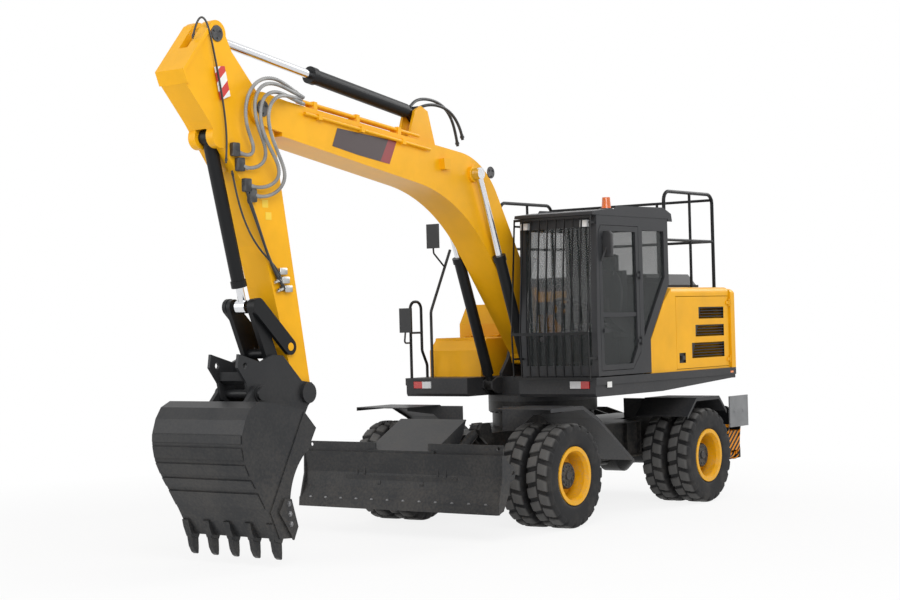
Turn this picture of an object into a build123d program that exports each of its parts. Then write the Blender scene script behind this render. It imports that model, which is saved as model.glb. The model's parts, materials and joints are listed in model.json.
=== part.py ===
from build123d import *
from collections import namedtuple
from math import atan2, cos, degrees, hypot, radians, sin
import os

os.makedirs("parts", exist_ok=True)

# Wheeled excavator, millimetres. +X forward, +Y to the machine's left, +Z up.
# The origin lies on the ground under the middle of the outline. Points along the
# machine are given from the swing axis, which stands SWING_X from that origin.
SWING_X = -1518

# ---------------------------------------------------------------- driving sizes
RUNNING_GAP = 0.05        # radial clearance of a pin in its bore
SEAT_GAP = 0.3            # face clearance of a piece that turns on a flange
SIDE_GAP = 5              # clearance beside a moving piece
DOOR_GAP = 6              # seam round a door or lid

OVERALL_W = 2500
HALF_W = OVERALL_W / 2
FRONT_AXLE_X = 1300
REAR_AXLE_X = -1500

TYRE_R = 530
TYRE_W = 275
TWIN_PITCH = 325          # spacing of the two tyres of a twin wheel
TREAD_W = 236
LUGS = 21
LUG_DEEP = 24
LUG_SHARE = 0.62          # share of the pitch that a lug takes
WALL_SIDES = 20           # flats of the tyre's shoulder and of its bead
SHOULDER_R = 498
BEAD_R = 254
RIM_WALL = 16
RIM_LIP_R = 296
RIM_SEAT = 105            # inner face of a rim flange, from the middle of its tyre
RIM_LIP_W = 22
HUB_R = 138
HUB_FACE = 205            # hub cover, outboard of the middle of the twin wheel
HUB_BACK = -190
SPINDLE_R = 60
SPINDLE_LEN = 120
CARRIER_R = 165           # brake drum that the hub turns on

BEAM_HALF = 335           # half width of the chassis beam
SILL_WEB = 684            # inner face of the sills' side plates
BEAM_TOP = 960
BEAM_LOW = 565
BEAM_HIGH = 750           # underside over the axles
BEAM_FRONT = 1850
BEAM_REAR = -2060
PLATE = 16                # common plate thickness
DRUM_R = 560
DRUM_TOP = 1120
RING_R = 600
RING_TOP = 1235

KINGPIN_IN = 160          # kingpin, inboard of the wheel carrier's face
KINGPIN_R = 25
FIST_R = 70
FIST_HALF = 105
YOKE_T = 44

BLADE_PIN = (1960, 600)
BLADE_ARM_Y = 246         # inner face of a blade arm
BLADE_ARM_T = 44
BLADE_RAM_Y = 510

DECK_LOW = 1300
CLUSTER_Y = (-1010, 1040) # lamp clusters in the platform's front face
CLUSTER_HALF = 125
CLUSTER_Z = 1425
LIFT_HOLE_X = -2170       # threaded lifting holes in the counterweight
LIFT_HOLE_R = 18
LIFT_HOLE_DEEP = (76, 70)   # right, left
DECK_TOP = 1500
PLATFORM_FRONT = 860
PLATFORM_REAR = -2090     # seam between the house and the counterweight
TAIL_X = -2300
BODY_TOP = 2430
HOOD_RISE = 160           # height of the hood above the panels
WALL = 26                 # panel and door thickness of the machine house
HINGE_R = 9               # knuckles and pins of the doors' hinges
HINGE_PIN_R = 5
HINGE_HALF = 18           # half height of the door's knuckle
KNUCKLE_H = 24
HINGE_OFF = 12            # hinge pin, outboard of the door's outer face

CAB_IN = 284              # inner and outer sides of the cab
CAB_OUT = 1240
CAB_FLOOR = 1512
CAB_WALL = 50
GLASS = 6

ARM_Y = -60               # the arm stands right of the swing axis
BOOM_HALF = 190
STICK_HALF = 150
PIN_R = 45

# arm pins, (forward of the swing axis, height)
BOOM_PIN = (117, 1750)
TIP_PIN = (4597, 4080)
STICK_TOP_PIN = (5124, 4702)
BUCKET_PIN = (4082, 1497)
GUIDE_PIN = (4298, 1927)
LINK_PIN = (4707, 2300)
COUPLER_PIN = (4474, 1764)
BOOM_EYE = (1394, 3645)

# rams: foot and eye pins, barrel and rod radii, reach of the neck, of the rod's inner
# end and of the gland from the foot pin, half width of the eyes, pin radius
Ram = namedtuple("Ram", "foot eye barrel_r rod_r neck rod_end length half_eye pin_r")
BOOM_RAM = Ram((520, 1420), BOOM_EYE, 60, 36, 120, 900, 1480, 40, 34)
STICK_RAM = Ram((2107, 4230), STICK_TOP_PIN, 72, 42, 170, 1440, 1640, 48, 38)
BUCKET_RAM = Ram((5100, 3802), LINK_PIN, 62, 36, 60, 240, 1370, 58, 34)
BLADE_RAM = Ram((1950, 1030), (2478, 700), 50, 28, 85, 180, 460, 30, 24)
BOOM_RAM_Y = 266


# ---------------------------------------------------------------- small helpers
def side(y=0):
    """Upright plane fore and aft, drawn as (forward of the swing axis, height)."""
    return Plane(origin=(SWING_X, y, 0), x_dir=(1, 0, 0), z_dir=(0, -1, 0))


def across(x=0):
    """Upright plane across the machine, drawn as (left, height)."""
    return Plane(origin=(SWING_X + x, 0, 0), x_dir=(0, 1, 0), z_dir=(1, 0, 0))


def level(z=0):
    """Level plane, drawn as (forward of the swing axis, left)."""
    return Plane(origin=(SWING_X, 0, z), x_dir=(1, 0, 0), z_dir=(0, 0, 1))


def outline(*points):
    """Fill a closed outline in the sketch at hand."""
    with BuildLine() as edge:
        Polyline(*points, close=True)
    make_face(edge.edges())


def disc(at, radius):
    """A round in the sketch at hand."""
    with Locations(at):
        Circle(radius)


def slot_between(a, b, width):
    """A round-ended plate from pin a to pin b."""
    run = hypot(b[0] - a[0], b[1] - a[1])
    with Locations(((a[0] + b[0]) / 2, (a[1] + b[1]) / 2)):
        SlotCenterToCenter(run, width, rotation=degrees(atan2(b[1] - a[1], b[0] - a[0])))


def slab(draw, y_from, y_to, mode=Mode.ADD):
    """Extrude what draw() sketches between two distances left of the middle."""
    with BuildSketch(side(y_from)) as face:
        draw()
    extrude(face.sketch, amount=y_from - y_to, mode=mode)


def plates(draw, y_in, y_out, mode=Mode.ADD, middle=0):
    """The same plate on both sides of a middle plane."""
    slab(draw, middle + y_in, middle + y_out, mode)
    slab(draw, middle - y_out, middle - y_in, mode)


def rod_across(at, radius, y_from, y_to, mode=Mode.ADD):
    """A round bar or bore across the machine."""
    with BuildSketch(side(y_from)) as face:
        with Locations(at):
            Circle(radius)
    extrude(face.sketch, amount=y_from - y_to, mode=mode)


def box_between(low, high, mode=Mode.ADD):
    """A block from one corner to the other."""
    with BuildSketch(level(low[2])) as face:
        with Locations(((low[0] + high[0]) / 2, (low[1] + high[1]) / 2)):
            Rectangle(high[0] - low[0], high[1] - low[1])
    extrude(face.sketch, amount=high[2] - low[2], mode=mode)


def fixed_knuckles(x, face_y, z, s, back):
    """Two knuckles and their pin on the pillar behind a door, s outboard of face_y."""
    y = face_y + s * HINGE_OFF
    for z_low in (z - HINGE_HALF - SEAT_GAP - KNUCKLE_H, z + HINGE_HALF + SEAT_GAP):
        with BuildSketch(level(z_low)) as face:
            disc((x, y), HINGE_R)
            outline((x - back, face_y), (x, face_y), (x, y), (x - back, y))
        extrude(face.sketch, amount=KNUCKLE_H)
    reach = HINGE_HALF + SEAT_GAP + KNUCKLE_H
    with BuildSketch(level(z - reach)) as face:
        disc((x, y), HINGE_PIN_R)
    extrude(face.sketch, amount=2 * reach)


def door_knuckle(x, face_y, z, s, leaf, gap):
    """A door's knuckle and its leaf, which lies on the door from gap forward of the pin."""
    y = face_y + s * HINGE_OFF
    clear = face_y + s * (HINGE_OFF - HINGE_R)
    with BuildSketch(level(z - HINGE_HALF)) as face:
        disc((x, y), HINGE_R)
        outline((x, clear), (x + gap, clear), (x + gap, face_y - s), (x + leaf, face_y - s),
                (x + leaf, y), (x, y))
    extrude(face.sketch, amount=2 * HINGE_HALF)
    with BuildSketch(level(z - HINGE_HALF)) as bore:
        disc((x, y), HINGE_PIN_R + RUNNING_GAP)
    extrude(bore.sketch, amount=2 * HINGE_HALF, mode=Mode.SUBTRACT)


def ram_length(ram):
    """Distance between a ram's pins as the machine stands."""
    return hypot(ram.eye[0] - ram.foot[0], ram.eye[1] - ram.foot[1])


def ram_plane(ram, y, reach):
    """Plane square to a ram, reach along it from its foot pin."""
    length = ram_length(ram)
    along = ((ram.eye[0] - ram.foot[0]) / length, (ram.eye[1] - ram.foot[1]) / length)
    start = (SWING_X + ram.foot[0] + along[0] * reach, y, ram.foot[1] + along[1] * reach)
    return Plane(origin=start, x_dir=(0, 1, 0), z_dir=(along[0], 0, along[1]))


def ram_run(ram, y, start, end, radius, mode=Mode.ADD):
    """A round length of a ram between two reaches."""
    with BuildSketch(ram_plane(ram, y, start)) as face:
        Circle(radius)
    extrude(face.sketch, amount=end - start, mode=mode)


def add_barrel(ram, y):
    """Barrel with its foot eye, gland and bore."""
    ram_run(ram, y, 0, ram.neck, ram.half_eye)
    ram_run(ram, y, ram.neck, ram.length, ram.barrel_r)
    ram_run(ram, y, ram.length - ram.barrel_r, ram.length, ram.barrel_r * 1.16)
    rod_across(ram.foot, ram.barrel_r * 1.12, y - ram.half_eye, y + ram.half_eye)
    ram_run(ram, y, ram.neck + 20, ram.length, ram.rod_r + RUNNING_GAP, Mode.SUBTRACT)
    rod_across(ram.foot, ram.pin_r + RUNNING_GAP, y - ram.barrel_r - 1,
               y + ram.barrel_r + 1, Mode.SUBTRACT)


def add_rod(ram, y):
    """Chromed rod with its eye, which carries a pin of its own."""
    ram_run(ram, y, ram.rod_end, ram_length(ram), ram.rod_r)
    rod_across(ram.eye, ram.rod_r * 1.7, y - ram.half_eye, y + ram.half_eye)


# ---------------------------------------------------------------- chassis
with BuildPart() as chassis_frame:
    with BuildSketch(side()):
        outline(
            (BEAM_REAR, BEAM_TOP), (BEAM_FRONT, BEAM_TOP), (BEAM_FRONT, BEAM_HIGH),
            (960, BEAM_HIGH), (860, BEAM_LOW), (-1060, BEAM_LOW), (-1160, BEAM_HIGH),
            (BEAM_REAR, BEAM_HIGH),
        )
    extrude(amount=BEAM_HALF, both=True)
    with BuildSketch(level(BEAM_TOP)):
        Circle(DRUM_R)
    extrude(amount=DRUM_TOP - BEAM_TOP)
    # side sills between the wheels: flanges, a web and ribs
    for z in (BEAM_LOW, BEAM_TOP - PLATE):
        with BuildSketch(level(z)):
            for s in (1, -1):
                outline(
                    (-930, s * (BEAM_HALF - 10)), (-930, s * 640), (-846, s * 760),
                    (346, s * 760), (430, s * 660), (430, s * (BEAM_HALF - 10)),
                )
        extrude(amount=PLATE)
    plates(lambda: outline((-830, BEAM_LOW), (330, BEAM_LOW), (330, BEAM_TOP), (-830, BEAM_TOP)),
           SILL_WEB, SILL_WEB + PLATE)
    plates(lambda: slot_between((-150, 700), (-150, 890), 60), SILL_WEB - 1,
           SILL_WEB + PLATE + 1, Mode.SUBTRACT)
    for x in (-400, 90):
        plates(lambda: disc((x, 705), 20), SILL_WEB - 1, SILL_WEB + PLATE + 1, Mode.SUBTRACT)
    for x in (-846, -560, 330):
        for s in (1, -1):
            rib = sorted((s * (BEAM_HALF - 10), s * (SILL_WEB + 60)))
            box_between((x, rib[0], BEAM_LOW), (x + PLATE, rib[1], BEAM_TOP))
    # blade ears and ram towers at the front
    for y in (BLADE_ARM_Y - SIDE_GAP - 40, BLADE_ARM_Y + BLADE_ARM_T + SIDE_GAP):
        plates(lambda: slot_between((1800, 720), BLADE_PIN, 130), y, y + 40)
    plates(lambda: disc(BLADE_PIN, 30), BLADE_ARM_Y - SIDE_GAP - 40,
           BLADE_ARM_Y + BLADE_ARM_T + SIDE_GAP + 40)
    for y in (BLADE_RAM_Y - 65, BLADE_RAM_Y + 35):
        plates(lambda: outline((1755, 895), (1820, 1090), (1960, 1090), (2010, 1030),
                               (1980, 960), (1870, 880)), y, y + 30)
    for s in (1, -1):
        low, high = sorted((s * (BEAM_HALF - 20), s * (BLADE_RAM_Y + 65)))
        box_between((1758, low, 885), (1800, high, 940))
    plates(lambda: disc(BLADE_RAM.foot, BLADE_RAM.pin_r), BLADE_RAM_Y - 60, BLADE_RAM_Y + 60)
    # outrigger housings at the rear
    box_between((-2530, -620, 420), (-2060, 620, 900))
    box_between((BEAM_REAR - 20, -BEAM_HALF, BEAM_HIGH), (BEAM_REAR + 1, BEAM_HALF, BEAM_TOP))

OUT_PIN = (1050, 475)     # outrigger leg pin, (left, height)
OUT_FOOT = (350, 760)     # outrigger ram's foot, and its eye on the leg's crank
OUT_EYE = (893, 607)
OUT_TIP = (1100, 985)
OUT_FRONT = -2150         # front and rear faces of the leg
OUT_REAR = -2450
OUT_MID = (OUT_FRONT + OUT_REAR) / 2
HOUSING_T = 24
with BuildPart(mode=Mode.PRIVATE) as housing:
    for x in (OUT_FRONT + SIDE_GAP, OUT_REAR - SIDE_GAP - HOUSING_T):
        with BuildSketch(across(x)):
            for s in (1, -1):
                outline((s * 300, 420), (s * 980, 400), (s * 1120, 430), (s * 1120, 540),
                        (s * 1010, 900), (s * 900, 1010), (s * 700, 1010), (s * 300, 890))
        extrude(amount=HOUSING_T)
    for s in (1, -1):
        for at, r in ((OUT_PIN, 35), (OUT_FOOT, 28)):
            with BuildSketch(across(OUT_REAR - SIDE_GAP)):
                with Locations((s * at[0], at[1])):
                    Circle(r)
            extrude(amount=OUT_FRONT - OUT_REAR + 2 * SIDE_GAP)
with chassis_frame:
    box_between((OUT_REAR - SIDE_GAP, -621, 419), (OUT_FRONT + SIDE_GAP, 621, 901),
                Mode.SUBTRACT)
    box_between((OUT_REAR - SIDE_GAP - 1, -290, 420), (OUT_FRONT + SIDE_GAP + 1, 290, 900))
    add(housing.part)

with BuildPart() as slew_ring:
    with BuildSketch(level(DRUM_TOP)):
        Circle(RING_R)
        Circle(RING_R - 120, mode=Mode.SUBTRACT)
    extrude(amount=RING_TOP - DRUM_TOP)

with BuildPart() as drive_line:
    box_between((-420, -150, 300), (120, 150, BEAM_LOW))
    for x_from, x_to in ((120, 1080), (-1280, -420)):
        with BuildSketch(across(x_from)):
            with Locations((0, 450)):
                Circle(42)
        extrude(amount=x_to - x_from)


def wheel_plane(x, s, y):
    """Plane through a wheel's axis, drawn as (outboard, up)."""
    return Plane(origin=(SWING_X + x, s * y, TYRE_R), x_dir=(0, s, 0), z_dir=(s, 0, 0))


def axle_axis(x):
    return Axis((SWING_X + x, 0, TYRE_R), (0, 1, 0))


TWIN_Y = HALF_W - (TYRE_W + TWIN_PITCH) / 2     # middle of a twin wheel
CARRIER_FACE = TWIN_Y + HUB_BACK - SEAT_GAP
KINGPIN_Y = CARRIER_FACE - KINGPIN_IN
STEER_RAM_X = FRONT_AXLE_X + 150

with BuildPart() as rear_axle:
    for s in (1, -1):
        with BuildSketch(wheel_plane(REAR_AXLE_X, s, 0)):
            outline((0, 0), (0, 210), (120, 210), (230, 110), (CARRIER_FACE - 170, 110),
                    (CARRIER_FACE - 130, CARRIER_R), (CARRIER_FACE, CARRIER_R),
                    (CARRIER_FACE, SPINDLE_R), (CARRIER_FACE + SPINDLE_LEN, SPINDLE_R),
                    (CARRIER_FACE + SPINDLE_LEN, 0))
        revolve(axis=axle_axis(REAR_AXLE_X))
    box_between((REAR_AXLE_X - 110, -BEAM_HALF, TYRE_R), (REAR_AXLE_X + 110, BEAM_HALF, BEAM_HIGH))

with BuildPart() as front_axle:
    for s in (1, -1):
        with BuildSketch(wheel_plane(FRONT_AXLE_X, s, 0)):
            outline((0, 0), (0, 205), (100, 205), (200, 100), (KINGPIN_Y - 60, 90),
                    (KINGPIN_Y, 60), (KINGPIN_Y, 0))
        revolve(axis=axle_axis(FRONT_AXLE_X))
        with BuildSketch(level(TYRE_R - FIST_HALF)):
            with Locations((FRONT_AXLE_X, s * KINGPIN_Y)):
                Circle(FIST_R)
        extrude(amount=2 * FIST_HALF)
        with BuildSketch(level(TYRE_R - FIST_HALF - YOKE_T)):
            with Locations((FRONT_AXLE_X, s * KINGPIN_Y)):
                Circle(KINGPIN_R)
        extrude(amount=2 * (FIST_HALF + YOKE_T))
    box_between((FRONT_AXLE_X - 90, -120, TYRE_R), (FRONT_AXLE_X + 90, 120, BEAM_HIGH))
    # body of the double-ended steering ram, ahead of the beam
    with BuildSketch(side(-240)):
        disc((STEER_RAM_X, TYRE_R), 45)
    extrude(amount=-480)
    box_between((FRONT_AXLE_X + 60, -200, TYRE_R - 30), (FRONT_AXLE_X + 140, 200, TYRE_R + 30))
    rod_across((STEER_RAM_X, TYRE_R), 25 + RUNNING_GAP, -241, 241, Mode.SUBTRACT)

with BuildPart() as steering_rod:
    rod_across((STEER_RAM_X, TYRE_R), 25, 60 - KINGPIN_Y, KINGPIN_Y - 60)

FENDER_LIP = 28
with BuildPart() as fenders:
    for s in (1, -1):
        for inner, run in ((575, ((1720, 1215), (1130, 1215), (850, 1085), (480, 829))),
                           (775, ((500, 843), (150, 600))),
                           (575, ((-1930, 1010), (-1760, 1180), (-1230, 1180), (-1020, 990)))):
            low, high = sorted((s * inner, s * (HALF_W - 5)))
            thick = [(x, z + 10) for x, z in reversed(run)]
            slab(lambda: outline(*run, *thick), low, high)
            low, high = sorted((s * (HALF_W - 13), s * (HALF_W - 5)))
            lip = [(x, z - FENDER_LIP) for x, z in run]
            slab(lambda: outline(*lip, *thick), low, high)
        # cross stays from the chassis beam, under the sheets
        low, high = sorted((s * (BEAM_HALF - 40), s * 1000))
        for x, top in ((1140, 1215), (-1300, 1180)):
            with BuildSketch(across(x)):
                outline((s * 260, BEAM_TOP), (s * 420, BEAM_TOP), (s * 640, top - 90),
                        (s * 1000, top - 60), (s * 1000, top), (s * 260, top))
            extrude(amount=PLATE)


# ---------------------------------------------------------------- wheels
Wheel = namedtuple("Wheel", "name x side")
WHEELS = (
    Wheel("front_left", FRONT_AXLE_X, 1), Wheel("front_right", FRONT_AXLE_X, -1),
    Wheel("rear_left", REAR_AXLE_X, 1), Wheel("rear_right", REAR_AXLE_X, -1),
)
def round_points(count, radius, turn=0):
    """Points evenly round a circle, the first one turn degrees past straight down."""
    step = 360 / count
    return [(radius * sin(radians(step * i + turn)), -radius * cos(radians(step * i + turn)))
            for i in range(count)]


def add_tyre(x, y):
    """One tyre: a band of lugs between two flat-sided walls, on the flats of its bead."""
    half_lug = 180 / LUGS * LUG_SHARE
    tip = TYRE_R / cos(radians(half_lug))
    tread = []
    for i in range(LUGS):
        for turn, radius in ((-half_lug, tip), (half_lug, tip),
                             (half_lug + 1.2, TYRE_R - LUG_DEEP),
                             (360 / LUGS - half_lug - 1.2, TYRE_R - LUG_DEEP)):
            angle = radians(360 / LUGS * i + turn)
            tread.append((radius * sin(angle), -radius * cos(angle)))
    bead = round_points(WALL_SIDES, BEAD_R / cos(radians(180 / WALL_SIDES)))
    wall = round_points(WALL_SIDES, SHOULDER_R / cos(radians(180 / WALL_SIDES)))
    for half, points in ((TREAD_W / 2, tread), (TYRE_W / 2, wall)):
        with BuildSketch(Plane(origin=(SWING_X + x, y, TYRE_R), x_dir=(1, 0, 0),
                               z_dir=(0, -1, 0))) as face:
            outline(*points)
        extrude(face.sketch, amount=half, both=True)
    with BuildSketch(Plane(origin=(SWING_X + x, y, TYRE_R), x_dir=(1, 0, 0),
                           z_dir=(0, -1, 0))) as hole:
        outline(*bead)
    extrude(hole.sketch, amount=TYRE_W / 2, both=True, mode=Mode.SUBTRACT)
    # steps that the rim's flanges stand in
    flange = round_points(WALL_SIDES, (RIM_LIP_R + SEAT_GAP) / cos(radians(180 / WALL_SIDES)))
    for face_y, deep in ((y + TYRE_W / 2, 1), (y - TYRE_W / 2, -1)):
        with BuildSketch(Plane(origin=(SWING_X + x, face_y, TYRE_R), x_dir=(1, 0, 0),
                               z_dir=(0, -1, 0))) as step:
            outline(*flange)
        extrude(step.sketch, amount=deep * (TYRE_W / 2 - RIM_SEAT + SEAT_GAP), mode=Mode.SUBTRACT)


for wheel in WHEELS:
    with BuildPart() as tyres:
        for offset in (-TWIN_PITCH / 2, TWIN_PITCH / 2):
            add_tyre(wheel.x, wheel.side * (TWIN_Y + offset))
    tyres.part.label = f"tyres_{wheel.name}"
    export_step(tyres.part, f"parts/tyres_{wheel.name}.step")

    lip = TWIN_PITCH / 2 + RIM_SEAT
    with BuildPart() as rim:
        with BuildSketch(wheel_plane(wheel.x, wheel.side, TWIN_Y)):
            outline((-lip - RIM_LIP_W, RIM_LIP_R), (-lip, RIM_LIP_R), (-lip, BEAD_R),
                    (lip, BEAD_R), (lip, RIM_LIP_R), (lip + RIM_LIP_W, RIM_LIP_R),
                    (lip + RIM_LIP_W, BEAD_R), (lip - 20, BEAD_R - RIM_WALL),
                    (90, BEAD_R - RIM_WALL), (60, HUB_R - 10), (44, HUB_R - 10),
                    (70, BEAD_R - RIM_WALL), (-lip - RIM_LIP_W, BEAD_R - RIM_WALL))
            outline((HUB_BACK, SPINDLE_R + RUNNING_GAP), (HUB_BACK, HUB_R + 20),
                    (-60, HUB_R + 20), (20, HUB_R), (HUB_FACE - 12, HUB_R - 4),
                    (HUB_FACE, HUB_R - 16), (HUB_FACE, 0), (HUB_BACK + SPINDLE_LEN + 5, 0),
                    (HUB_BACK + SPINDLE_LEN + 5, SPINDLE_R + RUNNING_GAP))
        revolve(axis=axle_axis(wheel.x))
    rim.part.label = f"rim_{wheel.name}"
    export_step(rim.part, f"parts/rim_{wheel.name}.step")

for name, s in (("left", 1), ("right", -1)):
    with BuildPart() as knuckle:
        with BuildSketch(wheel_plane(FRONT_AXLE_X, s, 0)):
            outline((CARRIER_FACE - 55, 0), (CARRIER_FACE - 55, CARRIER_R),
                    (CARRIER_FACE, CARRIER_R), (CARRIER_FACE, SPINDLE_R),
                    (CARRIER_FACE + SPINDLE_LEN, SPINDLE_R), (CARRIER_FACE + SPINDLE_LEN, 0))
        revolve(axis=axle_axis(FRONT_AXLE_X))
        for z in (TYRE_R - FIST_HALF - SIDE_GAP / 10 - YOKE_T, TYRE_R + FIST_HALF + SIDE_GAP / 10):
            with BuildSketch(level(z)):
                with Locations((FRONT_AXLE_X, s * KINGPIN_Y)):
                    Circle(FIST_R - 10)
                outline((FRONT_AXLE_X - 60, s * KINGPIN_Y), (FRONT_AXLE_X + 60, s * KINGPIN_Y),
                        (FRONT_AXLE_X + 60, s * (CARRIER_FACE - 50)),
                        (FRONT_AXLE_X - 60, s * (CARRIER_FACE - 50)))
                with Locations((FRONT_AXLE_X, s * KINGPIN_Y)):
                    Circle(KINGPIN_R + RUNNING_GAP, mode=Mode.SUBTRACT)
            extrude(amount=YOKE_T)
        # steering arm, ahead of the kingpin, with its ball end
        low, high = sorted((s * (KINGPIN_Y - 10), s * (CARRIER_FACE - 20)))
        box_between((STEER_RAM_X - 24, low, TYRE_R - 20), (STEER_RAM_X + 24, high, TYRE_R + 20))
    knuckle.part.label = f"knuckle_{name}"
    export_step(knuckle.part, f"parts/knuckle_{name}.step")


# ---------------------------------------------------------------- blade
BLADE_FACE = 2600
BLADE_LOW = 270
BLADE_TOP = 835
TIE_DOWN = (2408, 652)    # eye behind each end plate of the blade
TIE_DOWN_R = 24
BLADE_TOP_FACE = BLADE_FACE - 15
STRIP_X = BLADE_FACE - 72 # upright strips along the top flange
with BuildPart() as blade:
    with BuildSketch(side()):
        outline((BLADE_FACE + 70, BLADE_LOW), (BLADE_FACE + 62, 360), (BLADE_FACE - 15, 480),
                (BLADE_FACE - 35, 620), (BLADE_TOP_FACE, BLADE_TOP - 8), (STRIP_X, BLADE_TOP - 8),
                (STRIP_X, BLADE_TOP - 24), (BLADE_FACE - 40, BLADE_TOP - 24),
                (BLADE_FACE - 60, 620), (BLADE_FACE - 40, 470), (BLADE_FACE + 30, 350),
                (BLADE_FACE + 45, BLADE_LOW))
    extrude(amount=HALF_W, both=True)
    # end plates, widest where the tie-down ears stand
    plates(lambda: outline((BLADE_FACE + 70, BLADE_LOW), (BLADE_FACE + 62, 360),
                           (BLADE_FACE - 8, 600), (BLADE_TOP_FACE, BLADE_TOP - 8),
                           (BLADE_FACE - 90, BLADE_TOP - 24), (BLADE_FACE - 150, 640),
                           (BLADE_FACE - 120, 480), (BLADE_FACE - 20, 300)),
           HALF_W - 18, HALF_W)
    plates(lambda: outline((STRIP_X, BLADE_TOP - 24), (STRIP_X + 12, BLADE_TOP - 24),
                           (STRIP_X + 12, BLADE_TOP + 90), (STRIP_X, BLADE_TOP + 90)),
           330, HALF_W - 20)
    for s in (1, -1):
        with BuildSketch(across(STRIP_X - 1)):
            disc((s * (HALF_W - 75), BLADE_TOP + 55), 18)
        extrude(amount=14, mode=Mode.SUBTRACT)
    # tie-down ears on the end plates
    plates(lambda: outline((BLADE_FACE - 90, 760), (BLADE_FACE - 210, 715),
                           (BLADE_FACE - 235, 650), (BLADE_FACE - 210, 590),
                           (BLADE_FACE - 100, 545)), HALF_W - 18, HALF_W)
    plates(lambda: disc(TIE_DOWN, TIE_DOWN_R), HALF_W - 19, HALF_W + 1, Mode.SUBTRACT)
    # cutting edge along the foot, and its bolts' strip
    with BuildSketch(side()):
        outline((BLADE_FACE + 62, 360), (BLADE_FACE + 70, BLADE_LOW), (BLADE_FACE + 84, BLADE_LOW),
                (BLADE_FACE + 76, 362))
    extrude(amount=HALF_W - 4, both=True)
    plates(lambda: slot_between(BLADE_PIN, (2530, 520), 110),
           BLADE_ARM_Y, BLADE_ARM_Y + BLADE_ARM_T)
    with BuildSketch(side()):
        outline((2460, 440), (2575, 440), (2575, 600), (2460, 600))
    extrude(amount=700, both=True)
    # ram ears behind the mouldboard
    for y in (BLADE_RAM_Y - 60, BLADE_RAM_Y + 36):
        plates(lambda: outline((2575, 560), (2440, 560), (2430, 720), (2480, 760), (2570, 700)),
               y, y + 24)
    # sloping cover between the arms
    with BuildSketch(side()):
        outline((2010, 1130), (2560, 850), (2560, 700), (2548, 700), (2548, 838), (2006, 1118))
    extrude(amount=415, both=True)
    plates(lambda: outline((2010, 1125), (2556, 845), (2556, 560), (2440, 560), (2080, 960)),
           415 - 12, 415)
    rod_across(BLADE_PIN, 30 + RUNNING_GAP, -HALF_W, HALF_W, Mode.SUBTRACT)

with BuildPart() as blade_cylinders:
    for s in (1, -1):
        add_barrel(BLADE_RAM, s * BLADE_RAM_Y)
with BuildPart() as blade_rods:
    for s in (1, -1):
        add_rod(BLADE_RAM, s * BLADE_RAM_Y)


# ---------------------------------------------------------------- outriggers
def rod_along(at, radius, x_from, x_to, mode=Mode.ADD):
    """A round bar or bore along the machine, at (left, height)."""
    with BuildSketch(across(x_from)) as face:
        with Locations(at):
            Circle(radius)
    extrude(face.sketch, amount=x_to - x_from, mode=mode)


def out_plane(s, reach):
    """Plane square to an outrigger's ram, reach along it from its foot."""
    run = hypot(OUT_EYE[0] - OUT_FOOT[0], OUT_EYE[1] - OUT_FOOT[1])
    u = (OUT_EYE[0] - OUT_FOOT[0]) / run
    w = (OUT_EYE[1] - OUT_FOOT[1]) / run
    return Plane(origin=(SWING_X + OUT_MID, s * (OUT_FOOT[0] + u * reach), OUT_FOOT[1] + w * reach),
                 x_dir=(1, 0, 0), z_dir=(0, s * u, w))


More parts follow.
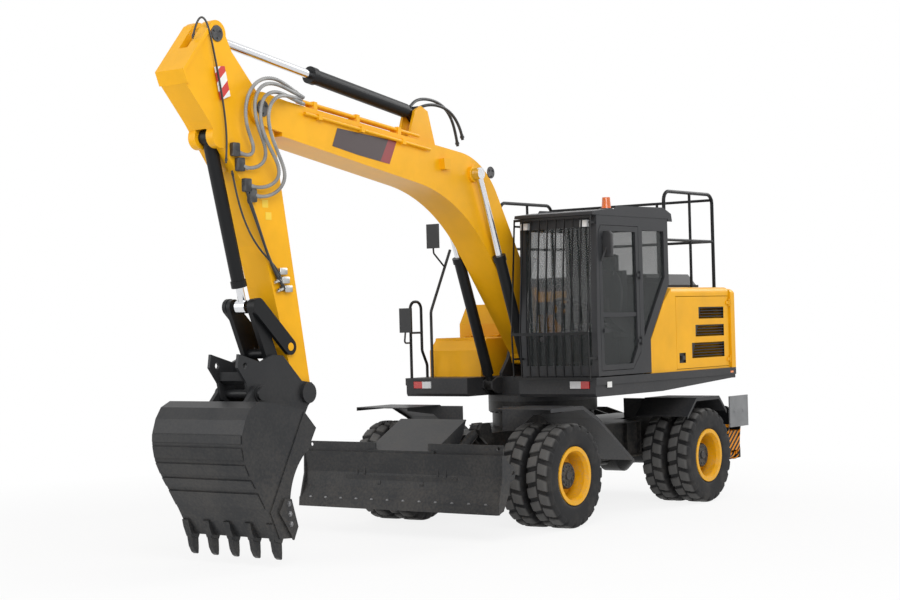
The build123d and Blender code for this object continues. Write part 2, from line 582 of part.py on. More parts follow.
OUT_RUN = hypot(OUT_EYE[0] - OUT_FOOT[0], OUT_EYE[1] - OUT_FOOT[1])
LEG_T = 22
OUT_TUBE_R = 45           # tube that the leg turns on
OUT_BARREL = 505
PAD_GAP = 4
for name, s in (("left", 1), ("right", -1)):
    with BuildPart() as leg:
        for x in (OUT_REAR, OUT_FRONT - LEG_T):
            with BuildSketch(across(x)):
                slot_between((s * OUT_PIN[0], OUT_PIN[1]), (s * OUT_TIP[0], OUT_TIP[1]), 130)
                slot_between((s * OUT_PIN[0], OUT_PIN[1]), (s * OUT_EYE[0], OUT_EYE[1]), 96)
            extrude(amount=LEG_T)
        low, high = sorted((s * 1115, s * 1131))
        box_between((OUT_REAR, low, 525), (OUT_FRONT, high, 755))
        rod_along((s * OUT_PIN[0], OUT_PIN[1]), OUT_TUBE_R, OUT_REAR, OUT_FRONT)
        for x in (OUT_REAR, OUT_FRONT - LEG_T - 30):
            rod_along((s * OUT_PIN[0], OUT_PIN[1]), 62, x, x + LEG_T + 30)
        rod_along((s * OUT_PIN[0], OUT_PIN[1]), 35 + RUNNING_GAP, OUT_REAR, OUT_FRONT, Mode.SUBTRACT)
        rod_along((s * OUT_TIP[0], OUT_TIP[1]), 24, OUT_REAR, OUT_FRONT)
    leg.part.label = f"outrigger_leg_{name}"
    export_step(leg.part, f"parts/outrigger_leg_{name}.step")

    with BuildPart() as pad:
        low, high = sorted((s * 1195, s * 1211))
        box_between((OUT_REAR - 75, low, 805), (OUT_FRONT + 75, high, 1165))
        for x in (OUT_REAR + LEG_T + PAD_GAP, OUT_FRONT - LEG_T - PAD_GAP - 30):
            with BuildSketch(across(x)):
                slot_between((s * OUT_TIP[0], OUT_TIP[1]), (s * 1170, OUT_TIP[1]), 90)
            extrude(amount=30)
        rod_along((s * OUT_TIP[0], OUT_TIP[1]), 24 + RUNNING_GAP, OUT_REAR, OUT_FRONT, Mode.SUBTRACT)
    pad.part.label = f"outrigger_pad_{name}"
    export_step(pad.part, f"parts/outrigger_pad_{name}.step")

    with BuildPart() as out_barrel:
        for reach, end, r in ((0, OUT_BARREL, 46), (OUT_BARREL - 50, OUT_BARREL, 54)):
            with BuildSketch(out_plane(s, reach)):
                Circle(r)
            extrude(amount=end - reach)
        rod_along((s * OUT_FOOT[0], OUT_FOOT[1]), 52, OUT_MID - 40, OUT_MID + 40)
        with BuildSketch(out_plane(s, 70)):
            Circle(26 + RUNNING_GAP)
        extrude(amount=OUT_BARREL, mode=Mode.SUBTRACT)
        rod_along((s * OUT_FOOT[0], OUT_FOOT[1]), 28 + RUNNING_GAP, OUT_MID - 60, OUT_MID + 60,
                  Mode.SUBTRACT)
    out_barrel.part.label = f"outrigger_cylinder_{name}"
    export_step(out_barrel.part, f"parts/outrigger_cylinder_{name}.step")

    with BuildPart() as out_rod:
        with BuildSketch(out_plane(s, 90)):
            Circle(26)
        extrude(amount=OUT_RUN - 90)
        rod_along((s * OUT_EYE[0], OUT_EYE[1]), 36, OUT_MID - 40, OUT_MID + 40)
        rod_along((s * OUT_EYE[0], OUT_EYE[1]), 22, OUT_REAR + LEG_T + PAD_GAP,
                  OUT_FRONT - LEG_T - PAD_GAP)
    out_rod.part.label = f"outrigger_rod_{name}"
    export_step(out_rod.part, f"parts/outrigger_rod_{name}.step")


# ---------------------------------------------------------------- upper structure
FRAME_EAR_Y = BOOM_HALF + SIDE_GAP
RECESS_X = 400            # rear wall of the recess that the boom rams stand in
SKIRT_HALF = HALF_W - 5
SKIRT_FOLD = 1420         # height of the fold along the skirt
TAIL_SIDE_X = -2190       # where the tail's curve meets the sides


def draw_tail(front, inset=0):
    """Plan of the tail, rounded about the swing axis."""
    half = SKIRT_HALF - inset
    with BuildLine() as edge:
        Polyline((TAIL_SIDE_X, half), (front, half), (front, -half), (TAIL_SIDE_X, -half))
        ThreePointArc((TAIL_SIDE_X, -half), (TAIL_X + inset, 0), (TAIL_SIDE_X, half))
    make_face(edge.edges())


with BuildPart() as upper_frame:
    with BuildSketch(side()):
        outline((PLATFORM_FRONT, SKIRT_FOLD), (PLATFORM_FRONT, DECK_TOP),
                (PLATFORM_REAR, DECK_TOP), (PLATFORM_REAR, SKIRT_FOLD))
    extrude(amount=SKIRT_HALF, both=True)
    with BuildSketch(side()):
        outline((PLATFORM_FRONT, DECK_LOW + 30), (PLATFORM_FRONT - 20, DECK_LOW), (-500, DECK_LOW),
                (PLATFORM_REAR, SKIRT_FOLD - 40), (PLATFORM_REAR, SKIRT_FOLD + 1),
                (PLATFORM_FRONT, SKIRT_FOLD + 1))
    extrude(amount=SKIRT_HALF - 12, both=True)
    # the skirt runs on round the tail, under the counterweight
    for z_from, z_to, inset in ((SKIRT_FOLD, DECK_TOP, 0), (SKIRT_FOLD - 40, SKIRT_FOLD, 12)):
        with BuildSketch(level(z_from)):
            draw_tail(PLATFORM_REAR + 1, inset)
        extrude(amount=z_to - z_from)
    with BuildSketch(level(RING_TOP + SEAT_GAP)):
        Circle(RING_R)
    extrude(amount=DECK_LOW - RING_TOP)
    box_between((RECESS_X, ARM_Y - 340, DECK_LOW - 1), (PLATFORM_FRONT + 1, CAB_IN - 1, DECK_TOP + 1),
                Mode.SUBTRACT)
    # cab mounts
    for x in (-170, 700):
        for y in (CAB_IN + 110, CAB_OUT - 110):
            with BuildSketch(level(DECK_TOP)):
                disc((x, y), 60)
            extrude(amount=CAB_FLOOR - DECK_TOP)
    # boom foot bracket: a cheek on each side, reaching forward to the boom rams
    plates(lambda: outline((-520, DECK_TOP - 10), (-200, 1980), (40, 1880), (200, 1860),
                           (260, 1700), (RECESS_X, 1540), (RECESS_X, DECK_LOW),
                           (-520, DECK_LOW)), FRAME_EAR_Y, FRAME_EAR_Y + 40, middle=ARM_Y)
    ear = BOOM_RAM.half_eye + SIDE_GAP
    for y in (BOOM_RAM_Y - ear - 26, BOOM_RAM_Y + ear):
        plates(lambda: outline((RECESS_X - 10, DECK_LOW + 20), (RECESS_X - 10, DECK_TOP - 10),
                               (500, 1490), (590, 1450), (590, 1380), (500, DECK_LOW + 20)),
               y, y + 26, middle=ARM_Y)
    plates(lambda: disc(BOOM_RAM.foot, BOOM_RAM.pin_r), BOOM_RAM_Y - ear - 10,
           BOOM_RAM_Y + ear + 10, middle=ARM_Y)
    rod_across(BOOM_PIN, PIN_R, ARM_Y - FRAME_EAR_Y - 20, ARM_Y + FRAME_EAR_Y + 20)
    # sockets for the lamp clusters in the platform's front face
    for y in CLUSTER_Y:
        box_between((PLATFORM_FRONT - 12, y - CLUSTER_HALF, CLUSTER_Z - 45),
                    (PLATFORM_FRONT + 1, y + CLUSTER_HALF, CLUSTER_Z + 45), Mode.SUBTRACT)

with BuildPart() as counterweight:
    with BuildSketch(level(DECK_TOP)):
        draw_tail(PLATFORM_REAR - DOOR_GAP)
    extrude(amount=BODY_TOP - 20 - DECK_TOP)
    fillet(counterweight.faces().sort_by(Axis.Z)[-1].edges().sort_by(Axis.X)[:-1], 60)
    # lifting holes in the top
    for y, deep in zip((-600, 600), LIFT_HOLE_DEEP):
        with BuildSketch(level(BODY_TOP - 20 - deep)):
            disc((LIFT_HOLE_X, y), LIFT_HOLE_R)
        extrude(amount=deep, mode=Mode.SUBTRACT)

HOUSE_FRONT = -760
HOUSE_HALF = HALF_W - 26
DOOR_FRONT = -850
DOOR_REAR = PLATFORM_REAR + 15
DOOR_LOW = DECK_TOP + 20
DOOR_TOP = 2330
HOOD_FRONT = -800
HOOD_REAR = PLATFORM_REAR + 175
HOOD_HALF = 900
TANK_FRONT = -150         # front of the fuel tank
BOX_REAR = -140           # tool box, ahead of the fuel tank
BOX_FRONT = 430
BOX_TOP = 1900
HOOD_LAP = 20             # the hood's rim on the panels round its opening
HOOD_HINGE = (HOOD_FRONT + 24, BODY_TOP + 40)
HOOD_HINGE_Y = (-600, 600)
HOOD_EAR_R = 14
HOOD_EAR_T = 26
DOOR_HINGE_Z = (1600, 2250)


def draw_house(shrink=0):
    low = DECK_TOP - (1 if shrink else 0)
    outline((HOUSE_FRONT - shrink, low), (HOUSE_FRONT - shrink, BODY_TOP - shrink),
            (PLATFORM_REAR + shrink, BODY_TOP - shrink), (PLATFORM_REAR + shrink, low))


# grille openings of the engine doors: front edge at the top and at the bottom, heights
Grille = namedtuple("Grille", "x_top x_low z_low z_high")
GRILLES = (Grille(-1415, -1370, 2075, 2205), Grille(-1350, -1290, 1875, 2005),
           Grille(-1270, -1200, 1635, 1805))
GRILLE_REAR = -1955
SLAT_PITCH = 32
SLAT_T = 10


def add_grilles(s):
    """Slanted openings with level slats, in the engine door on side s."""
    inner, face, outer = HOUSE_HALF - WALL - 1, HOUSE_HALF - 16, HOUSE_HALF + 1
    for grille in GRILLES:
        low, high = sorted((s * inner, s * outer))
        slab(lambda: outline((grille.x_top, grille.z_high), (grille.x_low, grille.z_low),
                             (GRILLE_REAR, grille.z_low), (GRILLE_REAR, grille.z_high)),
             low, high, Mode.SUBTRACT)
        low, high = sorted((s * face, s * (HOUSE_HALF - 4)))
        for i in range(int((grille.z_high - grille.z_low) / SLAT_PITCH)):
            z = grille.z_low + SLAT_PITCH * (i + 0.6)
            lean = (grille.x_top - grille.x_low) / (grille.z_high - grille.z_low)
            x = grille.x_low + lean * (z - grille.z_low)
            slab(lambda: outline((GRILLE_REAR - 1, z), (x + 1, z), (x + 1 + lean * SLAT_T, z + SLAT_T),
                                 (GRILLE_REAR - 1, z + SLAT_T)), low, high)


with BuildPart() as body_panels:
    slab(draw_house, -HOUSE_HALF, HOUSE_HALF)
    fillet(body_panels.edges().filter_by(Axis.X).group_by(Axis.Z)[-1], 70)
    slab(lambda: draw_house(WALL), WALL - HOUSE_HALF, HOUSE_HALF - WALL, Mode.SUBTRACT)
    for s in (1, -1):
        low, high = sorted((s * (HOUSE_HALF - 2 * WALL), s * (HOUSE_HALF + 1)))
        box_between((DOOR_REAR, low, DOOR_LOW), (DOOR_FRONT, high, DOOR_TOP), Mode.SUBTRACT)
    box_between((HOOD_REAR, -HOOD_HALF, BODY_TOP - 2 * WALL), (HOOD_FRONT, HOOD_HALF, BODY_TOP + 1),
                Mode.SUBTRACT)
    for s in (1, -1):
        for z in DOOR_HINGE_Z:
            fixed_knuckles(DOOR_REAR + 2, s * HOUSE_HALF, z, s, HINGE_R)
    # ears of the hood's hinges
    for y in HOOD_HINGE_Y:
        for y_from in (y - HOOD_EAR_T - SEAT_GAP - HOOD_EAR_T / 2, y + HOOD_EAR_T / 2 + SEAT_GAP):
            slab(lambda: disc(HOOD_HINGE, HOOD_EAR_R), y_from, y_from + HOOD_EAR_T)
            slab(lambda: outline((HOOD_HINGE[0] - HOOD_EAR_R, BODY_TOP - 1),
                                 (HOOD_HINGE[0] + HOOD_EAR_R, BODY_TOP - 1),
                                 (HOOD_HINGE[0] + HOOD_EAR_R, HOOD_HINGE[1]),
                                 (HOOD_HINGE[0] - HOOD_EAR_R, HOOD_HINGE[1])),
                 y_from, y_from + HOOD_EAR_T)
        rod_across(HOOD_HINGE, HINGE_PIN_R, y - 1.5 * HOOD_EAR_T, y + 1.5 * HOOD_EAR_T)
    # left quarter ahead of the doors, following the slope behind the cab
    with BuildSketch(side(HOUSE_HALF)):
        outline((HOUSE_FRONT, DECK_TOP), (-290, DECK_TOP), (-290, 1850), (-590, 2270),
                (HOUSE_FRONT, BODY_TOP - 12))
    extrude(amount=HOUSE_HALF - CAB_IN)

for name, s in (("left", 1), ("right", -1)):
    with BuildPart() as door:
        low, high = sorted((s * (HOUSE_HALF - WALL), s * HOUSE_HALF))
        box_between((DOOR_REAR + DOOR_GAP, low, DOOR_LOW + DOOR_GAP),
                    (DOOR_FRONT - DOOR_GAP, high, DOOR_TOP - DOOR_GAP))
        for z in DOOR_HINGE_Z:
            door_knuckle(DOOR_REAR + 2, s * HOUSE_HALF, z, s, 60, DOOR_GAP)
        add_grilles(s)
        # recessed latch near the front edge
        low, high = sorted((s * (HOUSE_HALF - 14), s * (HOUSE_HALF + 1)))
        box_between((-1050, low, 1590), (-910, high, 1700), Mode.SUBTRACT)
        low, high = sorted((s * (HOUSE_HALF - 15), s * (HOUSE_HALF - 4)))
        box_between((-1010, low, 1620), (-950, high, 1670))
    door.part.label = f"engine_door_{name}"
    export_step(door.part, f"parts/engine_door_{name}.step")

with BuildPart() as hood:
    with BuildSketch(level(BODY_TOP + SEAT_GAP)):
        with Locations(((HOOD_REAR - HOOD_LAP + HOOD_FRONT + 8) / 2, 0)):
            Rectangle(HOOD_FRONT + 8 - HOOD_REAR + HOOD_LAP, 2 * (HOOD_HALF + HOOD_LAP))
    extrude(amount=35)
    with BuildSketch(level(BODY_TOP + 35)):
        with Locations(((HOOD_REAR + HOOD_FRONT - 20) / 2, 0)):
            Rectangle(HOOD_FRONT - HOOD_REAR - 20, 2 * HOOD_HALF)
    extrude(amount=HOOD_RISE - 35, taper=28)
    for y in HOOD_HINGE_Y:
        slab(lambda: slot_between(HOOD_HINGE, (HOOD_FRONT - 30, BODY_TOP + 30), 20),
             y - HOOD_EAR_T / 2, y + HOOD_EAR_T / 2)
        rod_across(HOOD_HINGE, HINGE_PIN_R + RUNNING_GAP, y - HOOD_EAR_T, y + HOOD_EAR_T,
                   Mode.SUBTRACT)

with BuildPart() as engine:
    box_between((-1600, -700, DECK_TOP), (-950, 500, 2150))

LID_HINGE = (BOX_REAR + 12, BOX_TOP + 47)
LID_HINGE_Y = (-1060, -700)
LID_EAR_R = 12
LID_EAR_T = 30
with BuildPart() as tanks:
    # fuel tank with its filler neck, and the tool box ahead of it with a sloping front
    slab(lambda: outline((HOUSE_FRONT + 1, DECK_TOP), (TANK_FRONT, DECK_TOP), (TANK_FRONT, 2080),
                         (-300, 2300), (HOUSE_FRONT + 1, 2300)), -HOUSE_HALF, -470)
    with BuildSketch(level(2300)):
        disc((-520, -840), 55)
    extrude(amount=60)
    slab(lambda: outline((BOX_REAR, DECK_TOP), (BOX_FRONT, DECK_TOP), (BOX_FRONT, 1790),
                         (BOX_FRONT - 110, BOX_TOP), (BOX_REAR, BOX_TOP)), -HOUSE_HALF, -520)
    slab(lambda: outline((BOX_REAR + 40, DECK_TOP + 30), (BOX_FRONT - 30, DECK_TOP + 30),
                         (BOX_FRONT - 30, 1778), (BOX_FRONT - 150, BOX_TOP + 1),
                         (BOX_REAR + 40, BOX_TOP + 1)), 40 - HOUSE_HALF, -560, Mode.SUBTRACT)

with tanks:
    # ears of the lid's hinges, on the fuel tank's front
    for y in LID_HINGE_Y:
        for y_from in (y - 1.5 * LID_EAR_T - SEAT_GAP, y + LID_EAR_T / 2 + SEAT_GAP):
            slab(lambda: disc(LID_HINGE, LID_EAR_R), y_from, y_from + LID_EAR_T)
            slab(lambda: outline((TANK_FRONT - 1, LID_HINGE[1] - 10), (LID_HINGE[0], LID_HINGE[1] - 10),
                                 (LID_HINGE[0], LID_HINGE[1] + 10), (TANK_FRONT - 1, LID_HINGE[1] + 10)),
                 y_from, y_from + LID_EAR_T)
        rod_across(LID_HINGE, HINGE_PIN_R, y - 1.5 * LID_EAR_T, y + 1.5 * LID_EAR_T)

with BuildPart() as toolbox_lid:
    box_between((LID_HINGE[0], -HOUSE_HALF, BOX_TOP + SEAT_GAP),
                (BOX_FRONT - 112, -520, BOX_TOP + 30))
    fillet(toolbox_lid.edges().filter_by(Axis.X).group_by(Axis.Z)[-1], 18)
    for y in LID_HINGE_Y:
        slab(lambda: disc(LID_HINGE, LID_EAR_R), y - LID_EAR_T / 2, y + LID_EAR_T / 2)
        slab(lambda: outline((LID_HINGE[0], BOX_TOP + 29),
                             (LID_HINGE[0] + LID_EAR_R, BOX_TOP + 29),
                             (LID_HINGE[0] + LID_EAR_R, LID_HINGE[1]),
                             (LID_HINGE[0] - LID_EAR_R, LID_HINGE[1])),
             y - LID_EAR_T / 2, y + LID_EAR_T / 2)
        rod_across(LID_HINGE, HINGE_PIN_R + RUNNING_GAP, y - LID_EAR_T, y + LID_EAR_T,
                   Mode.SUBTRACT)

RAIL_R = 20
STAY_R = 16


def add_tube(points, radius, bend):
    """A tube through points given as (forward of the swing axis, left, height)."""
    spots = [(SWING_X + x, y, z) for x, y, z in points]
    with BuildLine() as path:
        if bend:
            FilletPolyline(*spots, radius=bend)
        else:
            Polyline(*spots)
    line = path.line
    with BuildSketch(Plane(origin=line @ 0, z_dir=line % 0)) as ring:
        Circle(radius)
    sweep(ring.sketch, path=line)


SIDE_RAIL_Y = 1110
RAIL_FRONT = -850
RAIL_REAR = -1960
BACK_RAIL = RAIL_REAR - 20
RAIL_TOP = 3500
MID_RAIL = 2960
HAND_RAIL_Y = -1190
MAST_Y = -1000

with BuildPart() as handrails:
    # guard rails: a frame on each side and one across the tail
    for y in (-SIDE_RAIL_Y, SIDE_RAIL_Y):
        add_tube(((RAIL_FRONT, y, BODY_TOP), (RAIL_FRONT, y, RAIL_TOP), (RAIL_REAR, y, RAIL_TOP),
                  (RAIL_REAR, y, BODY_TOP)), RAIL_R, 110)
        add_tube(((RAIL_FRONT, y, MID_RAIL), (RAIL_REAR, y, MID_RAIL)), STAY_R, 0)
        add_tube(((-1430, y, BODY_TOP), (-1430, y, RAIL_TOP)), STAY_R, 0)
    for z in (MID_RAIL, RAIL_TOP - 60):
        add_tube(((BACK_RAIL, -SIDE_RAIL_Y, z), (BACK_RAIL, SIDE_RAIL_Y, z)), STAY_R, 0)
    for y in (-370, 370):
        add_tube(((BACK_RAIL, y, BODY_TOP), (BACK_RAIL, y, RAIL_TOP - 60)), STAY_R, 0)
    # hand rail at the right front corner
    add_tube(((815, HAND_RAIL_Y, DECK_TOP), (815, HAND_RAIL_Y, 2345), (617, HAND_RAIL_Y, 2345),
              (617, HAND_RAIL_Y, 1800), (530, HAND_RAIL_Y, 1640), (530, HAND_RAIL_Y, DECK_TOP)),
             RAIL_R - 4, 85)
    add_tube(((617, HAND_RAIL_Y, 2000), (812, HAND_RAIL_Y, 2000)), STAY_R - 4, 0)

# ---------------------------------------------------------------- cab
CAB_OUTLINE = ((800, CAB_FLOOR), (810, 1950), (770, 3180), (-690, 3180), (-690, 2470),
               (-270, 1880), (-270, CAB_FLOOR))
CAB_INSIDE = ((750, CAB_FLOOR + 40), (760, 1950), (722, 3120), (-640, 3120), (-640, 2485),
              (-220, 1895), (-220, CAB_FLOOR + 40))
CAB_DOOR_REAR = -60
CAB_HINGE_Z = (1860, 2560)
CAB_DOOR_FRONT = 740
CAB_DOOR_LOW = CAB_FLOOR + 50
CAB_DOOR_TOP = 3080
DOOR_CORNER = 170         # cut-off corner at the door's lower rear
FRAME_W = 62              # width of the door's frame round its window


def cab_front(z):
    """Where the cab's front face stands at height z."""
    (x_low, z_low), (x_mid, z_mid), (x_top, z_top) = CAB_OUTLINE[:3]
    if z < z_mid:
        return x_low + (x_mid - x_low) * (z - z_low) / (z_mid - z_low)
    return x_mid + (x_top - x_mid) * (z - z_mid) / (z_top - z_mid)


Mirror = namedtuple("Mirror", "x y z arm")
# each mirror's middle, and the arm that carries it from its post or pillar
MIRRORS = (
    Mirror(930, -1165, 2140, ((831.3, HAND_RAIL_Y, 1890), (930, HAND_RAIL_Y, 1890),
                              (930, -1175, 2010))),
    Mirror(600, -1010, 3070, ((400, MAST_Y, 2720), (600, -1005, 2880), (600, -1010, 2960))),
)
MIRROR_HALF = (14, 80, 135)
with BuildPart() as mirrors:
    add_tube(((685, MAST_Y, DECK_TOP), (685, MAST_Y, 2230), (300, MAST_Y, 2920)), STAY_R, 110)
    for mirror in MIRRORS:
        add_tube(mirror.arm, STAY_R - 6, 30)
        deep, wide, tall = MIRROR_HALF
        box_between((mirror.x - deep, mirror.y - wide, mirror.z - tall),
                    (mirror.x + deep, mirror.y + wide, mirror.z + tall))

BEACON = (-145, 800)      # beacon's middle on the cab roof, and the top of its boss
BEACON_SEAT = 3272
with BuildPart() as lamps:
    # front clusters in their sockets
    for y in CLUSTER_Y:
        box_between((PLATFORM_FRONT - 12, y - CLUSTER_HALF + 8, CLUSTER_Z - 37),
                    (PLATFORM_FRONT + 6, y + CLUSTER_HALF - 8, CLUSTER_Z + 37))
    # work lamps behind the cab guard's top corners
    for y in (CAB_IN + 90, CAB_OUT - 120):
        slab(lambda: outline((cab_front(3060), 3060), (cab_front(3060) + 60, 3060),
                             (cab_front(3130) + 56, 3130), (cab_front(3130), 3130)), y - 45, y + 45)
    # beacon on the cab roof
    with BuildSketch(level(BEACON_SEAT)):
        disc(BEACON, 70)
    extrude(amount=30)
    with BuildSketch(level(BEACON_SEAT + 29)):
        disc(BEACON, 52)
    extrude(amount=120, taper=4)


def draw_door(inset):
    """The door's outline, its rear lower corner cut off, inset from the opening."""
    rear, front = CAB_DOOR_REAR + inset, CAB_DOOR_FRONT - inset
    low, high = CAB_DOOR_LOW + inset, CAB_DOOR_TOP - inset
    outline((rear, low + DOOR_CORNER), (rear + DOOR_CORNER - inset, low), (front, low),
            (front, high - 60), (front - 40, high), (rear, high))


with BuildPart() as cab_shell:
    slab(lambda: outline(*CAB_OUTLINE), CAB_IN, CAB_OUT)
    slab(lambda: outline(*CAB_INSIDE), CAB_IN + CAB_WALL, CAB_OUT - CAB_WALL, Mode.SUBTRACT)
    # windscreen, rear window, right window, door opening, rear quarter window
    box_between((700, CAB_IN + 70, 1620), (900, CAB_OUT - 70, 3060), Mode.SUBTRACT)
    box_between((-800, CAB_IN + 90, 2540), (-600, CAB_OUT - 90, 3060), Mode.SUBTRACT)
    box_between((-100, CAB_IN - 1, 1950), (650, CAB_IN + CAB_WALL + 1, 3050), Mode.SUBTRACT)
    slab(lambda: draw_door(0), CAB_OUT - CAB_WALL - 1, CAB_OUT + 1, Mode.SUBTRACT)
    slab(lambda: outline((-140, 1900), (-140, 3040), (-600, 3040), (-600, 2540)),
         CAB_OUT - CAB_WALL - 1, CAB_OUT + 1, Mode.SUBTRACT)
    for z in CAB_HINGE_Z:
        fixed_knuckles(CAB_DOOR_REAR + 1, CAB_OUT, z, 1, 40)
    with BuildSketch(level(3200)):
        disc(BEACON, 92)
    extrude(amount=BEACON_SEAT - 3200)
    # roof cap, its skirts down the sides and the visor over the windscreen
    with BuildSketch(side(CAB_IN - 10)):
        outline((862, 3180), (850, 3215), (520, 3250), (-560, 3265), (-760, 3225), (-780, 3180))
    extrude(amount=-(CAB_OUT - CAB_IN + 15))
    for y in (CAB_IN - 10, CAB_OUT - 7):
        slab(lambda: outline((470, 3190), (380, 3285), (-600, 3300), (-770, 3235), (-790, 3150),
                             (-700, 3150), (-690, 3190)), y, y + 12)

with BuildPart() as cab_glass:
    slab(lambda: outline((785, 1620), (791, 1620), (797, 1950), (765, 3060), (759, 3060),
                         (791, 1950)), CAB_IN + 70, CAB_OUT - 70)
    box_between((-670, CAB_IN + 90, 2540), (-664, CAB_OUT - 90, 3060))
    box_between((-100, CAB_IN + 20, 1950), (650, CAB_IN + 20 + GLASS, 3050))
    slab(lambda: outline((-140, 1900), (-140, 3040), (-600, 3040), (-600, 2540)),
         CAB_OUT - 26, CAB_OUT - 20)

with BuildPart() as cab_door:
    slab(lambda: draw_door(DOOR_GAP), CAB_OUT - 44, CAB_OUT)
    slab(lambda: draw_door(FRAME_W), CAB_OUT - 45, CAB_OUT + 1, Mode.SUBTRACT)
    # waist rail, between the fixed lower window and the sliding one
    box_between((CAB_DOOR_REAR + FRAME_W - 1, CAB_OUT - 40, 2120),
                (CAB_DOOR_FRONT - FRAME_W + 1, CAB_OUT - 8, 2165))
    # handle
    box_between((600, CAB_OUT - 1, 1960), (690, CAB_OUT + 16, 2000))
    for z in CAB_HINGE_Z:
        door_knuckle(CAB_DOOR_REAR + 1, CAB_OUT, z, 1, 60, DOOR_GAP)

with BuildPart() as cab_door_glass:
    slab(lambda: draw_door(FRAME_W), CAB_OUT - 26, CAB_OUT - 20)
    box_between((CAB_DOOR_REAR + FRAME_W - 1, CAB_OUT - 41, 2120),
                (CAB_DOOR_FRONT - FRAME_W + 1, CAB_OUT - 7, 2165), Mode.SUBTRACT)

SEAT_Y = 740
with BuildPart() as cab_interior:
    # seat: base, cushion, back with head rest
    box_between((-120, SEAT_Y - 190, CAB_FLOOR + 40), (230, SEAT_Y + 190, 1890))
    slab(lambda: outline((-170, 1890), (300, 1890), (330, 1950), (300, 2020), (-150, 2000)),
         SEAT_Y - 250, SEAT_Y + 250)
    slab(lambda: outline((-150, 1980), (-60, 1990), (-170, 2620), (-250, 2620), (-250, 2000)),
         SEAT_Y - 230, SEAT_Y + 230)
    slab(lambda: outline((-255, 2600), (-165, 2600), (-180, 2800), (-255, 2790)),
         SEAT_Y - 130, SEAT_Y + 130)
    # consoles with their levers
    for y in (SEAT_Y - 340, SEAT_Y + 270):
        slab(lambda: outline((-100, 1900), (250, 2060), (330, 2130), (330, 2180), (230, 2180),
                             (-100, 2060)), y, y + 80)
        with BuildSketch(level(2150)):
            disc((290, y + 40), 22)
        extrude(amount=190)
    box_between((-100, SEAT_Y - 345, 1900), (100, SEAT_Y + 345, 1960))
    # steering column, wheel and travel pedals
    slab(lambda: outline((560, CAB_FLOOR + 40), (640, CAB_FLOOR + 40), (560, 2275), (500, 2255)),
         SEAT_Y - 40, SEAT_Y + 40)
    with BuildSketch(Plane(origin=(SWING_X + 505, SEAT_Y, 2250), x_dir=(0, 1, 0),
                           z_dir=(-0.35, 0, 0.94))):
        Circle(185)
        Circle(160, mode=Mode.SUBTRACT)
        Rectangle(340, 34)
    extrude(amount=26)
    for y in (SEAT_Y - 150, SEAT_Y + 90):
        slab(lambda: outline((560, CAB_FLOOR + 40), (700, CAB_FLOOR + 130), (690, CAB_FLOOR + 150),
                             (540, CAB_FLOOR + 60), (540, CAB_FLOOR + 40)), y, y + 70)
    # monitor beside the front pillar
    box_between((560, CAB_IN + 80, 2160), (600, CAB_IN + 260, 2300))
    box_between((570, CAB_IN + 150, CAB_FLOOR + 40), (592, CAB_IN + 180, 2161))

with BuildPart() as cab_guard:
    for z_from, z_to, x in ((3147, 3172, 874), (1945, 1975, 977), (1480, 1510, 953)):
        box_between((x, CAB_IN, z_from), (x + 16, CAB_OUT, z_to))
    for i in range(10):
        y = CAB_IN + 6 + i * (CAB_OUT - CAB_IN - 12) / 9
        slab(lambda: outline((874, 3172), (890, 3172), (993, 1960), (969, 1485), (953, 1485),
                             (977, 1960)), y - 6, y + 6)
    # stays to the cab's front corners
    for z, x_to in ((3100, 885), (1700, 970)):
        for y in (CAB_IN + 10, CAB_OUT - 26):
            slab(lambda: outline((cab_front(z - 10), z - 10), (x_to, z - 10), (x_to, z + 10),
                                 (cab_front(z + 10), z + 10)), y, y + 16)


# ---------------------------------------------------------------- arm
BOOM_BELLY = (1615, 3392)      # corner of the goose neck's underside before rounding
BOOM_BACK = (1181, 3812)       # corner of its top


with BuildPart() as boom:
    with BuildSketch(side()) as boom_side:
        outline((247, 1740), BOOM_BELLY, (4337, 3845), (4337, 4180), BOOM_BACK,
                (-13, 1850), (-13, 1650), (217, 1640))
        fillet(boom_side.vertices().sort_by_distance((*BOOM_BELLY, 0))[0], 1900)
        fillet(boom_side.vertices().sort_by_distance((*BOOM_BACK, 0))[0], 850)
    extrude(amount=BOOM_HALF, both=True)
    # fork that holds the stick
    slab(lambda: slot_between((4217, 4010), TIP_PIN, 300), -BOOM_HALF, BOOM_HALF)
    rod_across(TIP_PIN, 320, -STICK_HALF - SIDE_GAP, STICK_HALF + SIDE_GAP, Mode.SUBTRACT)
    rod_across(TIP_PIN, PIN_R, -STICK_HALF - SIDE_GAP - 1, STICK_HALF + SIDE_GAP + 1)
    # foot boss
    rod_across(BOOM_PIN, 130, -BOOM_HALF, BOOM_HALF)
    rod_across(BOOM_PIN, PIN_R + RUNNING_GAP, -BOOM_HALF - 1, BOOM_HALF + 1, Mode.SUBTRACT)
    # bosses for the boom rams' eyes
    rod_across(BOOM_EYE, 85, -BOOM_RAM_Y + BOOM_RAM.half_eye + SIDE_GAP,
               BOOM_RAM_Y - BOOM_RAM.half_eye - SIDE_GAP)
    # stick ram bracket on top
    for y in (-STICK_RAM.half_eye - SIDE_GAP - 30, STICK_RAM.half_eye + SIDE_GAP):
        slab(lambda: outline((1867, 3870), (1997, 4260), (2107, 4310), (2207, 4260),
                             (2337, 3900)), y, y + 30)
    rod_across(STICK_RAM.foot, STICK_RAM.pin_r, -STICK_RAM.half_eye - SIDE_GAP - 10,
               STICK_RAM.half_eye + SIDE_GAP + 10)

